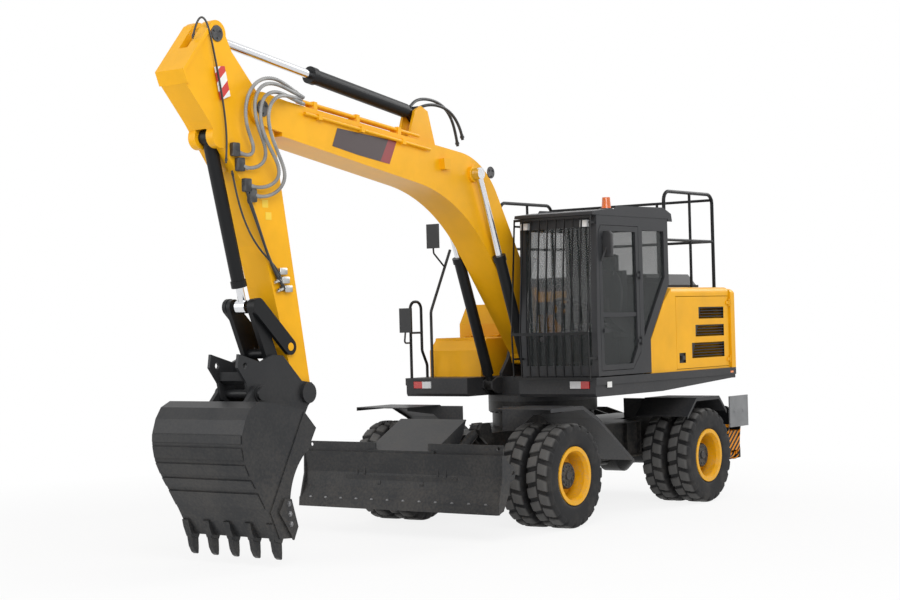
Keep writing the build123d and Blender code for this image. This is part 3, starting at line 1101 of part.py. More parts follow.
with BuildPart() as stick:
    with BuildSketch(side()):
        outline((5047, 4760), (5200, 4790), (5567, 4350), (5517, 4230), (5247, 3930),
                (4857, 3420), (4597, 2850), (4477, 2440), (4197, 1480), (3977, 1480),
                (4337, 3450), (4427, 4020), (4677, 4290), (4937, 4560), (5013, 4700))
    extrude(amount=STICK_HALF, both=True)
    rod_across(STICK_TOP_PIN, 118, -STICK_HALF, STICK_HALF)
    rod_across(TIP_PIN, 150, -STICK_HALF, STICK_HALF)
    rod_across(BUCKET_PIN, 115, -STICK_HALF, STICK_HALF)
    rod_across(BUCKET_RAM.foot, 105, -STICK_HALF, STICK_HALF)
    # flanges that stand out along the head and the front
    slab(lambda: outline((5200, 4790), (5567, 4350), (5517, 4230), (5490, 4240), (5530, 4345),
                         (5175, 4770)), -STICK_HALF - 22, STICK_HALF + 22)
    plates(lambda: outline((4857, 3420), (4597, 2850), (4477, 2440), (4230, 1590), (4206, 1600),
                           (4452, 2448), (4572, 2858), (4834, 3432)), STICK_HALF,
           STICK_HALF + 4)
    # slots for the two rams
    slot = STICK_RAM.half_eye + SIDE_GAP
    rod_across(STICK_TOP_PIN, 300, -slot, slot, Mode.SUBTRACT)
    slot = BUCKET_RAM.barrel_r + SIDE_GAP
    slab(lambda: slot_between(BUCKET_RAM.foot, (5030, 3520), 230), -slot, slot, Mode.SUBTRACT)
    rod_across(BUCKET_RAM.foot, BUCKET_RAM.pin_r, -STICK_HALF + 10, STICK_HALF - 10)
    rod_across(TIP_PIN, PIN_R + RUNNING_GAP, -STICK_HALF - 1, STICK_HALF + 1, Mode.SUBTRACT)
    rod_across(BUCKET_PIN, PIN_R + RUNNING_GAP, -STICK_HALF - 1, STICK_HALF + 1, Mode.SUBTRACT)
    rod_across(GUIDE_PIN, PIN_R - 8, -STICK_HALF - 46, STICK_HALF + 46)

with BuildPart() as boom_cylinders:
    for s in (1, -1):
        add_barrel(BOOM_RAM, s * BOOM_RAM_Y)
with BuildPart() as boom_rods:
    for s in (1, -1):
        add_rod(BOOM_RAM, s * BOOM_RAM_Y)
with BuildPart() as stick_cylinder:
    add_barrel(STICK_RAM, 0)
with BuildPart() as stick_rod:
    add_rod(STICK_RAM, 0)
with BuildPart() as bucket_cylinder:
    add_barrel(BUCKET_RAM, 0)
with BuildPart() as bucket_rod:
    add_rod(BUCKET_RAM, 0)

GUIDE_Y = STICK_HALF + SIDE_GAP
GUIDE_T = 40
LINK_Y = 105
LINK_T = 50
with BuildPart() as rocker_links:
    plates(lambda: slot_between(GUIDE_PIN, LINK_PIN, 150), GUIDE_Y, GUIDE_Y + GUIDE_T)
    for s in (1, -1):
        low, high = sorted((s * LINK_Y, s * (GUIDE_Y + GUIDE_T)))
        rod_across(LINK_PIN, PIN_R - 8, low, high)
    rod_across(GUIDE_PIN, PIN_R - 8 + RUNNING_GAP, -STICK_HALF - 60, STICK_HALF + 60, Mode.SUBTRACT)

with BuildPart() as connecting_link:
    plates(lambda: slot_between(LINK_PIN, COUPLER_PIN, 140), LINK_Y, LINK_Y + LINK_T)
    web = (LINK_PIN[0] * 0.2 + COUPLER_PIN[0] * 0.8, LINK_PIN[1] * 0.2 + COUPLER_PIN[1] * 0.8)
    rod_across(web, 45, -LINK_Y, LINK_Y)
    rod_across(LINK_PIN, PIN_R - 8 + RUNNING_GAP, -LINK_Y - LINK_T - 1, LINK_Y + LINK_T + 1,
               Mode.SUBTRACT)

COUPLER_Y = STICK_HALF + SIDE_GAP
COUPLER_T = 30
BUCKET_TOP_PIN = (4317, 1270)
BUCKET_LINK_PIN = (4767, 1520)
LIFT_EYE = (4900, 1775)   # lifting eye in the coupler's plates
LIFT_EYE_R = 27.5
EAR_Y = COUPLER_Y + COUPLER_T + 2
with BuildPart() as quick_coupler:
    plates(lambda: outline((3977, 1450), (4007, 1590), (4147, 1610), (4397, 1850), (4537, 1860),
                           (4697, 1800), (4977, 1880), (4997, 1760), (4887, 1620), (4850, 1470),
                           (4717, 1440), (4557, 1400), (4397, 1290), (4357, 1220), (4267, 1190),
                           (4157, 1240), (4067, 1380)),
           COUPLER_Y, COUPLER_Y + COUPLER_T)
    rod_across(LIFT_EYE, LIFT_EYE_R, -COUPLER_Y - COUPLER_T - 1, COUPLER_Y + COUPLER_T + 1,
               Mode.SUBTRACT)
    rod_across(BUCKET_PIN, PIN_R, -COUPLER_Y - 1, COUPLER_Y + 1)
    for at in (BUCKET_TOP_PIN, BUCKET_LINK_PIN):
        rod_across(at, 40, -270, 270)
    # cross member and the jaw in front of the link pin
    slab(lambda: outline((4630, 1500), (4680, 1520), (4690, 1760), (4640, 1770)),
         -COUPLER_Y - 1, COUPLER_Y + 1)
    slab(lambda: outline((4800, 1600), (4880, 1640), (4900, 1720), (4860, 1700)),
         -COUPLER_Y - 1, COUPLER_Y + 1)
    plates(lambda: disc(BUCKET_PIN, 95), COUPLER_Y + COUPLER_T - 1, COUPLER_Y + COUPLER_T + 34)
    plates(lambda: disc(BUCKET_TOP_PIN, 58), 245, 271)
    plates(lambda: disc(BUCKET_LINK_PIN, 58), 245, 271)

BUCKET_HALF = 545
BUCKET_WALL = 20
# outer skin of the bucket from its top lip to its cutting edge
SKIN = ((4387, 1200), (4557, 1370), (4840, 1432), (5117, 1470), (5230, 1420), (5300, 1320),
        (5342, 1200), (5347, 1100), (5318, 950), (5245, 810), (5172, 700), (5045, 502),
        (4907, 260))
SKIN_INSIDE = ((4882, 275), (5024, 514), (5152, 712), (5225, 822), (5296, 958), (5325, 1100),
               (5320, 1195), (5280, 1310), (5214, 1402), (5113, 1448), (4842, 1410),
               (4567, 1350), (4402, 1186))
MOUTH_LOW = (4725, 250)   # corners of the sides' open edge, and a point on its arc
MOUTH_MID = (4759, 599)
MOUTH_ARC = (4690, 815)
MOUTH_HIGH = (4506, 1014)
TEETH = 5
TOOTH_W = 76
STRIP_T = 12


def draw_bucket_side(*rest):
    """A side of the bucket: its open edge is hollowed by an arc, the rest is given."""
    with BuildLine() as edge:
        Polyline(MOUTH_HIGH, *rest, MOUTH_LOW, MOUTH_MID)
        ThreePointArc(MOUTH_MID, MOUTH_ARC, MOUTH_HIGH)
    make_face(edge.edges())


def skin_strip(a, b, share_from, share_to):
    """A wear strip on one flat of the skin, between two shares of its run."""
    run = hypot(b[0] - a[0], b[1] - a[1])
    out = (-(b[1] - a[1]) / run * STRIP_T, (b[0] - a[0]) / run * STRIP_T)
    start, end = [(a[0] + (b[0] - a[0]) * k, a[1] + (b[1] - a[1]) * k)
                  for k in (share_from, share_to)]
    outline(start, end, (end[0] + out[0], end[1] + out[1]), (start[0] + out[0], start[1] + out[1]))


with BuildPart() as bucket:
    with BuildSketch(side()):
        outline(*SKIN, *SKIN_INSIDE)
    extrude(amount=BUCKET_HALF, both=True)
    plates(lambda: draw_bucket_side(*SKIN), BUCKET_HALF - BUCKET_WALL, BUCKET_HALF)
    # wear strips across the heel
    for i in (6, 7, 8, 9, 10):
        slab(lambda: skin_strip(SKIN[i], SKIN[i + 1], 0.12, 0.80), 8 - BUCKET_HALF, BUCKET_HALF - 8)
    # heavier plates along the open edge of each side
    plates(lambda: draw_bucket_side((4392, 1200), (4545, 1353), (5018, 500), (4907, 262)),
           BUCKET_HALF, BUCKET_HALF + 10)
    # side cutters
    plates(lambda: outline((4850, 610), (4764, 599), (4684, 349), (4742, 235), (4925, 490)),
           BUCKET_HALF + 10, BUCKET_HALF + 30)
    # ears for the coupler's pins, with their bosses
    plates(lambda: outline((4387, 1180), (4247, 1200), (4247, 1320), (4697, 1590),
                           (4817, 1590), (4960, 1440), (4557, 1355)), EAR_Y, EAR_Y + 40)
    for at in (BUCKET_TOP_PIN, BUCKET_LINK_PIN):
        plates(lambda: disc(at, 72), EAR_Y, EAR_Y + 52)
        rod_across(at, 40 + RUNNING_GAP, -300, 300, Mode.SUBTRACT)
    # teeth: an adapter on the lip and a curved point
    for i in range(TEETH):
        y = (BUCKET_HALF - TOOTH_W / 2) * (2 * i / (TEETH - 1) - 1)
        slab(lambda: outline((5000, 395), (4985, 330), (4948, 240), (4870, 220), (4832, 300),
                             (4900, 420)), y - TOOTH_W / 2, y + TOOTH_W / 2)
        slab(lambda: outline((4958, 262), (4936, 150), (4905, 95), (4876, 75), (4862, 80),
                             (4858, 130), (4860, 240)), y - TOOTH_W / 3, y + TOOTH_W / 3)

BOOM_TIP_TOP = (4337, 4180)


def boom_top(x, lift=0):
    """A point lift above the straight top of the boom."""
    slope = (BOOM_TIP_TOP[1] - BOOM_BACK[1]) / (BOOM_TIP_TOP[0] - BOOM_BACK[0])
    return x, BOOM_BACK[1] + slope * (x - BOOM_BACK[0]) + lift


Pipe = namedtuple("Pipe", "y lift x_from x_to r")
BOOM_PIPES = (Pipe(150, 52, 2250, 4120, 17), Pipe(95, 52, 2450, 4020, 17),
              Pipe(-150, 52, 2250, 4120, 17), Pipe(-95, 52, 2450, 4020, 17))
SIDE_PIPE_Y = BOOM_HALF + 26
CLAMP_X = (2560, 3200, 3820)
with BuildPart() as boom_pipes:
    for pipe in BOOM_PIPES:
        add_tube([(x, pipe.y, z) for x, z in (boom_top(pipe.x_from, pipe.lift),
                                              boom_top(pipe.x_to, pipe.lift))], pipe.r, 0)
    for s in (1, -1):
        add_tube([(x, s * SIDE_PIPE_Y, z) for x, z in (boom_top(2150, -70), boom_top(4050, -70))],
                 15, 0)
    for x in CLAMP_X:
        for y_from, y_to in ((70, 175), (-175, -70)):
            slab(lambda: outline(boom_top(x), boom_top(x + 50), boom_top(x + 50, 78),
                                 boom_top(x, 78)), y_from, y_to)
        for s in (1, -1):
            low, high = sorted((s * BOOM_HALF, s * (SIDE_PIPE_Y + 20)))
            slab(lambda: outline(boom_top(x, -96), boom_top(x + 50, -96), boom_top(x + 50, -44),
                                 boom_top(x, -44)), low, high)
    # work lamp on the left flank
    slab(lambda: outline((1850, 3665), (1950, 3665), (1960, 3775), (1840, 3775)),
         BOOM_HALF, BOOM_HALF + 60)

PIECES = (
    ("chassis_frame", chassis_frame), ("slew_ring", slew_ring), ("rear_axle", rear_axle),
    ("front_axle", front_axle), ("steering_rod", steering_rod), ("drive_line", drive_line),
    ("fenders", fenders), ("blade", blade), ("blade_cylinders", blade_cylinders),
    ("blade_rods", blade_rods), ("upper_frame", upper_frame), ("counterweight", counterweight),
    ("body_panels", body_panels), ("hood", hood), ("engine", engine), ("tanks", tanks),
    ("toolbox_lid", toolbox_lid), ("handrails", handrails), ("mirrors", mirrors),
    ("lamps", lamps),
    ("cab_shell", cab_shell), ("cab_glass", cab_glass), ("cab_door", cab_door),
    ("cab_door_glass", cab_door_glass), ("cab_interior", cab_interior), ("cab_guard", cab_guard),
)
for name, piece in PIECES:
    piece.part.label = name
    export_step(piece.part, f"parts/{name}.step")

# the arm's pieces are drawn about its own middle plane and stand at ARM_Y
ARM_PIECES = (
    ("boom", boom), ("boom_pipes", boom_pipes), ("boom_cylinders", boom_cylinders),
    ("boom_rods", boom_rods), ("stick", stick), ("stick_cylinder", stick_cylinder),
    ("stick_rod", stick_rod), ("bucket_cylinder", bucket_cylinder), ("bucket_rod", bucket_rod),
    ("rocker_links", rocker_links), ("connecting_link", connecting_link),
    ("quick_coupler", quick_coupler), ("bucket", bucket),
)
for name, piece in ARM_PIECES:
    placed = piece.part.moved(Location((0, ARM_Y, 0)))
    placed.label = name
    export_step(placed, f"parts/{name}.step")
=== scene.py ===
import json
import math

import bmesh
import bpy
import numpy as np
from mathutils import Matrix, Vector


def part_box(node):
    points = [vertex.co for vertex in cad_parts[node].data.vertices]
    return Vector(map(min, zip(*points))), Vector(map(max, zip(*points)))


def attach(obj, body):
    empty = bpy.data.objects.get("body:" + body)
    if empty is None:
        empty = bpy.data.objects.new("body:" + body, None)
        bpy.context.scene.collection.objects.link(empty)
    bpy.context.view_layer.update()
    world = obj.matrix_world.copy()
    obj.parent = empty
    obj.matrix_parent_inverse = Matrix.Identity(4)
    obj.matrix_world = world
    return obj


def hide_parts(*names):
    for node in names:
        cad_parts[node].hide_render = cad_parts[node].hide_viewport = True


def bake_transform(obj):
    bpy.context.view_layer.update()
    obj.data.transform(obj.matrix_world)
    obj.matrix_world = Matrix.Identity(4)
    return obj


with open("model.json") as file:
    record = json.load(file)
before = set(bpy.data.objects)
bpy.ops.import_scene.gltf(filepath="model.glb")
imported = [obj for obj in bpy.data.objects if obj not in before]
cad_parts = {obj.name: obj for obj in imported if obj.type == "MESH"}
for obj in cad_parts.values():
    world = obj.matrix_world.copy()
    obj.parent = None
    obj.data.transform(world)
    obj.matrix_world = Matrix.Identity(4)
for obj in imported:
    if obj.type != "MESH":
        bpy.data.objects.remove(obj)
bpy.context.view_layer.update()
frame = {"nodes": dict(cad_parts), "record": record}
NODES = frame["nodes"]

bl_info = {
    "name": "Wheeled excavator",
    "version": (1, 0, 0),
    "blender": (4, 5, 0),
    "location": "View3D > Sidebar > Excavator",
    "description": "Paint, tyres, hoses, glazing and trim on the packed wheeled excavator",
    "category": "Object",
}

SWING_X = -1.518          # swing axis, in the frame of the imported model
ARM_Y = -0.060            # the arm's middle plane
TAU = 2 * math.pi
FRONT_AXLE_X = 1.300      # axles, forward of the swing axis
REAR_AXLE_X = -1.500
WHEEL_Z = 0.530
TWIN_Y = 0.950            # middle of a twin wheel
TWIN_PITCH = 0.325
HUB_PAINT_R = 0.143       # black middle of a wheel disc
STRIPE_LEAN = 0.8         # stripes on the outrigger legs
STRIPE_PITCH = 0.075
NUT_RING_R = 0.166
NUT_FACE_Y = 1.019        # face of the wheel disc
HUB_FACE_Y = 1.154        # face of the hub
HUB_BOLTS_R = 0.095
RING_BOLTS = (0.575, 1.117)   # radius and height of the slew ring's bolts
CUTTER_HALF = 0.575       # side cutters, from the arm's middle plane
STICK_HALF = 0.150
RIB_PITCH = 0.022         # along a grey hose
TREAD_RUN = 0.180         # how far the blocks reach from the middle, along the section
TREAD_TOP = (0.508, 0.524)    # radii between which the scuffed rubber comes in
TYRE_HALF_W = 0.1375
# lamps: (from, to) across the red lenses, top of the clusters, foot and glass of the beacon
RED_LENSES = ((-1.14, -1.01), (1.055, 1.16))
CLUSTER_TOP = 1.5
BEACON_FOOT, BEACON_LOW = 3.25, 3.30
# lights: (name, place, size, power, place it points at)
LIGHTS = (("key", (9.0, 9.0, 9.0), 7.0, 900.0, (0.0, 0.0, 1.6)),
          ("fill", (12.0, -6.0, 5.0), 7.0, 350.0, (1.0, 0.0, 1.8)),
          ("rim", (-9.0, 4.0, 8.0), 6.0, 450.0, (0.0, 0.0, 1.8)))
# (name, axle forward of the swing axis, side)
WHEELS = (("front_left", FRONT_AXLE_X, 1), ("front_right", FRONT_AXLE_X, -1),
          ("rear_left", REAR_AXLE_X, 1), ("rear_right", REAR_AXLE_X, -1))
# half of the tyre's section from the crown to the bead: (distance from the middle, radius)
TYRE_SECTION = ((0.000, 0.506), (0.060, 0.506), (0.100, 0.504), (0.120, 0.494), (0.131, 0.470),
                (0.1350, 0.430), (0.1352, 0.380), (0.1330, 0.330), (0.125, 0.306),
                (0.108, 0.2975), (0.1042, 0.288), (0.1040, 0.256), (0.000, 0.2555))
# (front edge, rear edge, lowest, highest) of the grilles and of the latch recess
GRILLE_BOXES = ((-1.956, -1.368, 2.074, 2.206), (-1.956, -1.288, 1.874, 2.006),
                (-1.956, -1.198, 1.634, 1.806), (-1.051, -0.909, 1.589, 1.701))
# (middle forward of the swing axis, lowest, highest) of the mirrors' faces
MIRROR_FACES = ((0.930, 2.015, 2.265), (0.600, 2.945, 3.195))
LEFT_MIRROR = (0.600, 1.250, 2.880)
WIPER = ((0.800, 0.560, 1.900), (0.790, 0.600, 2.100), (0.770, 0.660, 2.350),
         (0.745, 0.700, 2.550))
DOOR_HANDLES = (1.241, -1.241)
# seat pads: lowest and highest corner in swing-axis metres, tip in radians, channels
PADS = (("seat_pad", (-0.175, 0.480, 1.930), (0.335, 1.000, 2.060), 0.0, (-0.55, 0.55)),
        ("back_pad", (-0.160, 0.500, 1.990), (-0.060, 0.980, 2.640), -0.16, (-0.55, 0.55)),
        ("head_pad", (-0.215, 0.600, 2.620), (-0.140, 0.880, 2.810), -0.05, ()))
HOSE_BLEND = ((4.45, 0.10, 4.35), (4.85, 0.10, 3.75))
# grey hoses from the boom's tip to the stick's side, in swing-axis metres
ARM_HOSES = (
    ((4.060, 0.155, 4.220), (4.250, 0.175, 4.260), (4.480, 0.205, 4.310), (4.700, 0.225, 4.290),
     (4.830, 0.235, 4.130), (4.790, 0.235, 3.900), (4.640, 0.220, 3.700), (4.640, 0.170, 3.560),
     (4.800, 0.130, 3.520), (4.890, 0.118, 3.560)),
    ((4.060, 0.155, 4.160), (4.260, 0.185, 4.190), (4.520, 0.245, 4.240), (4.740, 0.265, 4.180),
     (4.800, 0.270, 3.960), (4.690, 0.265, 3.740), (4.500, 0.240, 3.560), (4.480, 0.200, 3.420),
     (4.640, 0.150, 3.350), (4.800, 0.118, 3.380)),
    ((4.060, 0.100, 4.250), (4.280, 0.130, 4.330), (4.520, 0.180, 4.370), (4.760, 0.195, 4.310),
     (4.900, 0.195, 4.110), (4.880, 0.190, 3.880), (4.760, 0.175, 3.730), (4.760, 0.145, 3.640),
     (4.880, 0.120, 3.650), (4.950, 0.116, 3.700)),
    ((4.060, 0.128, 4.205), (4.300, 0.215, 4.200), (4.560, 0.290, 4.200), (4.720, 0.300, 4.060),
     (4.700, 0.300, 3.850), (4.560, 0.290, 3.640), (4.430, 0.260, 3.470), (4.470, 0.200, 3.330),
     (4.620, 0.140, 3.270), (4.740, 0.116, 3.300)),
)
# (name, body, radius, routes in swing-axis metres)
FIXED_HOSES = (
    ("boom_bend_hoses", "boom", 0.016, (
        ((2.200, -0.060, 4.280), (2.060, -0.090, 4.390), (1.820, -0.100, 4.420),
         (1.560, -0.110, 4.380), (1.400, -0.115, 4.250), (1.330, -0.120, 4.080),
         (1.300, -0.120, 3.960)),
        ((2.160, -0.020, 4.270), (1.990, 0.010, 4.340), (1.760, 0.020, 4.340),
         (1.560, 0.020, 4.270), (1.440, 0.020, 4.130), (1.400, 0.020, 4.010)))),
    ("stick_top_hose", "stick", 0.009, (
        ((5.080, 0.125, 3.560), (5.060, 0.130, 3.800), (5.100, 0.130, 4.100),
         (5.170, 0.130, 4.400),
         (5.230, 0.130, 4.640), (5.250, 0.100, 4.800), (5.285, 0.060, 4.850),
         (5.330, 0.040, 4.760), (5.350, 0.020, 4.640)),
        ((5.000, 0.118, 3.500), (4.930, 0.122, 3.200), (4.800, 0.120, 2.950),
         (4.640, 0.120, 2.780), (4.460, 0.122, 2.660), (4.400, 0.120, 2.560)))),
    ("stick_side_hoses", "stick", 0.013, (
        ((4.860, 0.120, 3.420), (4.700, 0.128, 3.060), (4.600, 0.128, 2.820),
         (4.500, 0.126, 2.640), (4.400, 0.122, 2.540)),
        ((4.800, 0.120, 3.260), (4.660, 0.128, 2.960), (4.560, 0.128, 2.740),
         (4.460, 0.126, 2.570), (4.350, 0.122, 2.460)))),
)
# ports on the stick's side: (forward, height)
STICK_PORTS = ((4.890, 3.560), (4.810, 3.380), (4.950, 3.690), (4.745, 3.290))
# end plates of the arm's pins: (forward, height, radius, distance from the arm's middle)
ARM_PINS = {"boom": ((4.597, 4.080, 0.075, 0.192), (1.394, 3.645, 0.062, 0.418)),
            "stick": ((5.124, 4.702, 0.072, 0.152), (4.298, 1.927, 0.060, 0.152))}
# outlines of marks that both sides have, as (forward, height)
BOOM_PANEL = ((3.640, 3.800), (3.560, 3.975), (2.660, 3.905), (2.780, 3.675), (3.250, 3.735))
STICK_PLATE = ((5.185, 4.400), (5.055, 4.420), (4.990, 4.160), (5.120, 4.110))
SKIRT_REFLECTOR = ((-2.120, 1.440), (-2.050, 1.440), (-2.050, 1.462), (-2.120, 1.462))
# (name, body, finish, distance of the face from the middle plane, corners)
MARKS = (
    ("boom_panel_left", "boom", "panel_red", 0.131, BOOM_PANEL),
    ("boom_panel_right", "boom", "panel_red", -0.251, BOOM_PANEL),
    ("stick_stripes_left", "stick", "stripes_red", 0.112, STICK_PLATE),
    ("stick_stripes_right", "stick", "stripes_red", -0.232, STICK_PLATE),
    ("stick_label_high", "stick", "label", 0.091,
     ((4.590, 3.260), (4.510, 3.260), (4.510, 3.190), (4.590, 3.190))),
    ("stick_label_low", "stick", "label", 0.091,
     ((4.550, 3.150), (4.470, 3.150), (4.470, 3.080), (4.550, 3.080))),
    ("skirt_label", "upper", "label_white", 1.2452,
     ((0.560, 1.390), (0.650, 1.390), (0.650, 1.450), (0.560, 1.450))),
    ("skirt_reflector_left", "upper", "reflector", 1.2452, SKIRT_REFLECTOR),
    ("skirt_reflector_right", "upper", "reflector", -1.2452, SKIRT_REFLECTOR),
)


# ------------------------------------------------------------------ shader wiring
class Socket:
    """A node socket that takes part in Python arithmetic."""

    def __init__(self, shader, link):
        self.shader = shader
        self.link = link

    def _math(self, operation, *others, swap=False):
        values = [self, *others]
        if swap:
            values.reverse()
        return self.shader.add("ShaderNodeMath", {"operation": operation}, values)

    def __add__(self, other):
        return self._math("ADD", other)

    def __sub__(self, other):
        return self._math("SUBTRACT", other)

    def __mul__(self, other):
        return self._math("MULTIPLY", other)

    def __truediv__(self, other):
        return self._math("DIVIDE", other)

    def __pow__(self, other):
        return self._math("POWER", other)

    def __gt__(self, other):
        return self._math("GREATER_THAN", other)

    def __lt__(self, other):
        return self._math("LESS_THAN", other)

    def __mod__(self, other):
        return self._math("FLOORED_MODULO", other)

    def __rsub__(self, other):
        return self._math("SUBTRACT", other, swap=True)

    __radd__ = __add__
    __rmul__ = __mul__

    def largest(self, other):
        return self._math("MAXIMUM", other)

    def smallest(self, other):
        return self._math("MINIMUM", other)

    def size(self):
        return self._math("ABSOLUTE")


class Shader:
    """A material, its Principled surface and the nodes that feed it."""

    def __init__(self, name, **constants):
        self.name = name
        self.material = bpy.data.materials.new(name)
        self.material.use_nodes = True
        self.tree = self.material.node_tree
        self.surface = self.tree.nodes["Principled BSDF"]
        for socket, value in constants.items():
            self.surface.inputs[socket.replace("_", " ")].default_value = value

    def add(self, kind, settings, values=(), output=0):
        """Add a node: its settings first, then the value or link of each socket."""
        node = self.tree.nodes.new(kind)
        for key, value in settings.items():
            if key == "stops":
                ramp = node.color_ramp
                while len(ramp.elements) < len(value):
                    ramp.elements.new(0.5)
                for element, (place, colour) in zip(ramp.elements, value):
                    element.position = place
                    element.color = colour
            else:
                setattr(node, key, value)
        pairs = values.items() if isinstance(values, dict) else enumerate(values)
        for key, value in pairs:
            if isinstance(value, Socket):
                self.tree.links.new(value.link, node.inputs[key])
            else:
                node.inputs[key].default_value = value
        return Socket(self, node.outputs[output])

    def place(self):
        """Object coordinates: a piece's own place in the frame, in metres."""
        return self.add("ShaderNodeTexCoord", {}, output="Object")

    def split(self, vector):
        node = self.tree.nodes.new("ShaderNodeSeparateXYZ")
        self.tree.links.new(vector.link, node.inputs[0])
        return [Socket(self, output) for output in node.outputs]

    def noise(self, scale, detail=3.0, rough=0.55, vector=None):
        return self.add("ShaderNodeTexNoise", {}, {
            "Vector": vector or self.place(), "Scale": scale, "Detail": detail,
            "Roughness": rough})

    def cells(self, scale, vector=None):
        return self.add("ShaderNodeTexVoronoi", {}, {
            "Vector": vector or self.place(), "Scale": scale})

    def ramp(self, value, low, high):
        """0 below low, 1 above high, a straight run between."""
        return self.add("ShaderNodeMapRange", {"clamp": True},
                        {"Value": value, "From Min": low, "From Max": high})

    def between(self, value, low, high):
        """1 from low to high, 0 outside."""
        return (value > low) * (value < high)

    def mix(self, mask, a, b):
        """Colour a where the mask is 0 and b where it is 1."""
        return self.add("ShaderNodeMix", {"data_type": "RGBA"}, {0: mask, 6: a, 7: b}, output=2)

    def feed(self, **links):
        for socket, value in links.items():
            self.tree.links.new(value.link, self.surface.inputs[socket.replace("_", " ")])

    def bump(self, height, depth, strength=1.0):
        bumped = self.add("ShaderNodeBump", {}, {
            "Height": height, "Distance": depth, "Strength": strength})
        self.feed(Normal=bumped)


# ------------------------------------------------------------------ colours and finishes
def rgb(*values):
    """A colour from three numbers, opaque."""
    return (*values, 1.0)


YELLOW = rgb(0.88, 0.43, 0.006)
CHARCOAL = rgb(0.034, 0.035, 0.038)
BLACK = rgb(0.008, 0.0085, 0.0095)
DUST = rgb(0.30, 0.26, 0.21)
WHITE = rgb(0.80, 0.80, 0.78)
RED = rgb(0.55, 0.015, 0.012)


def at(x, y, z):
    """A place given forward of the swing axis, left and up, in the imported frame."""
    return np.array((x + SWING_X, y, z))


def shades(colour, share):
    """A colour made lighter or darker by a share."""
    return tuple(min(1.0, c * share) for c in colour[:3]) + (1.0,)


def painted(name, colour, rough, coat, dusty=0.0, marks=()):
    """Sprayed paint: faint orange peel, uneven gloss, dust that thins with height.

    marks are boxes (low, high, colour) in swing-axis metres where another colour shows.
    """
    paint = Shader(name, Coat_Weight=coat, Coat_Roughness=0.12, Specular_IOR_Level=0.20)
    x, y, z = paint.split(paint.place())
    cloud = paint.noise(2.2, 4.0)
    speck = paint.noise(38.0, 3.0)
    shade = paint.mix(paint.ramp(cloud, 0.35, 0.70), shades(colour, 0.92), shades(colour, 1.05))
    for low, high, other in marks:
        inside = (paint.between(x, low[0] + SWING_X, high[0] + SWING_X)
                  * paint.between(y.size(), low[1], high[1]) * paint.between(z, low[2], high[2]))
        shade = paint.mix(inside, shade, other)
    low = (1 - paint.ramp(z, 0.2, 1.9)) * paint.ramp(speck + cloud, 0.85, 1.25) * dusty
    paint.feed(Base_Color=paint.mix(low, shade, DUST),
               Roughness=rough + cloud * 0.10 - 0.05 + low * 0.45)
    paint.bump(speck * 0.6 + paint.noise(420.0, 1.0) * 0.4, 0.0006, 0.35)
    return paint


def rim_paint():
    """Yellow wheel discs with a black hub in the middle and patches of dust."""
    paint = Shader("rim_paint", Coat_Weight=0.1, Coat_Roughness=0.15, Specular_IOR_Level=0.25)
    x, y, z = paint.split(paint.place())
    reach = axle_reach(paint, x, z)
    cloud = paint.noise(9.0, 4.0)
    speck = paint.noise(60.0, 3.0)
    yellow = paint.mix(paint.ramp(cloud, 0.35, 0.7), shades(YELLOW, 0.92), shades(YELLOW, 1.08))
    hub = reach < HUB_PAINT_R
    colour = paint.mix(hub, yellow, BLACK)
    dust = paint.ramp(speck + cloud, 0.95, 1.3) * 0.35
    paint.feed(Base_Color=paint.mix(dust, colour, DUST),
               Roughness=0.36 + cloud * 0.12 + dust * 0.4)
    paint.bump(speck, 0.0008, 0.3)
    return paint


def leg_paint():
    """Black outrigger legs with slanted orange stripes on their outer faces."""
    paint = Shader("leg_paint", Specular_IOR_Level=0.2)
    x, y, z = paint.split(paint.place())
    worn = paint.noise(24.0, 4.0)
    face = (y.size() > 0.90) * (z < 0.86)
    stripe = ((x * STRIPE_LEAN + z) / STRIPE_PITCH % 1.0 > 0.55) * face
    paint.feed(Base_Color=paint.mix(stripe, BLACK, rgb(0.80, 0.28, 0.008)),
               Roughness=0.36 + worn * 0.2)
    paint.bump(worn, 0.0004, 0.3)
    return paint


def lamp_glass():
    """Lamp lenses: red and white clusters, clear work lamps and an orange beacon."""
    lamp = Shader("lamp", Coat_Weight=0.8, Coat_Roughness=0.05)
    x, y, z = lamp.split(lamp.place())
    ribs = lamp.add("ShaderNodeMath", {"operation": "SINE"}, [y * 900.0]) * 0.5 + 0.5
    clear = lamp.mix(ribs, rgb(0.50, 0.51, 0.52), rgb(0.78, 0.79, 0.80))
    low = z < CLUSTER_TOP
    red = lamp.mix(ribs, rgb(0.42, 0.010, 0.008), rgb(0.62, 0.020, 0.015))
    right, left = (lamp.between(y, *span) for span in RED_LENSES)
    ends = right.largest(left)
    colour = lamp.mix(low * ends, clear, red)
    beacon = z > BEACON_LOW
    colour = lamp.mix(beacon, colour, rgb(0.90, 0.17, 0.008))
    foot = (z > BEACON_FOOT) * (z < BEACON_LOW + 0.002)
    lamp.feed(Base_Color=lamp.mix(foot, colour, BLACK), Roughness=0.10 + ribs * 0.12)
    lamp.bump(ribs, 0.0012, 0.5)
    return lamp


def mirror_finish():
    """Black mirror housings whose rear faces are silvered glass."""
    finish = Shader("mirror")
    x, y, z = finish.split(finish.place())
    speck = finish.noise(180.0, 3.0)
    low, high = (finish.between(x, middle + SWING_X - 0.0150, middle + SWING_X - 0.0130)
                 * finish.between(z, z_low, z_high) for middle, z_low, z_high in MIRROR_FACES)
    glass = low.largest(high)
    finish.feed(Base_Color=finish.mix(glass, BLACK, rgb(0.80, 0.82, 0.84)),
                Metallic=glass, Roughness=0.45 - glass * 0.40 + speck * 0.06)
    finish.bump(speck, 0.0004, 0.3)
    return finish


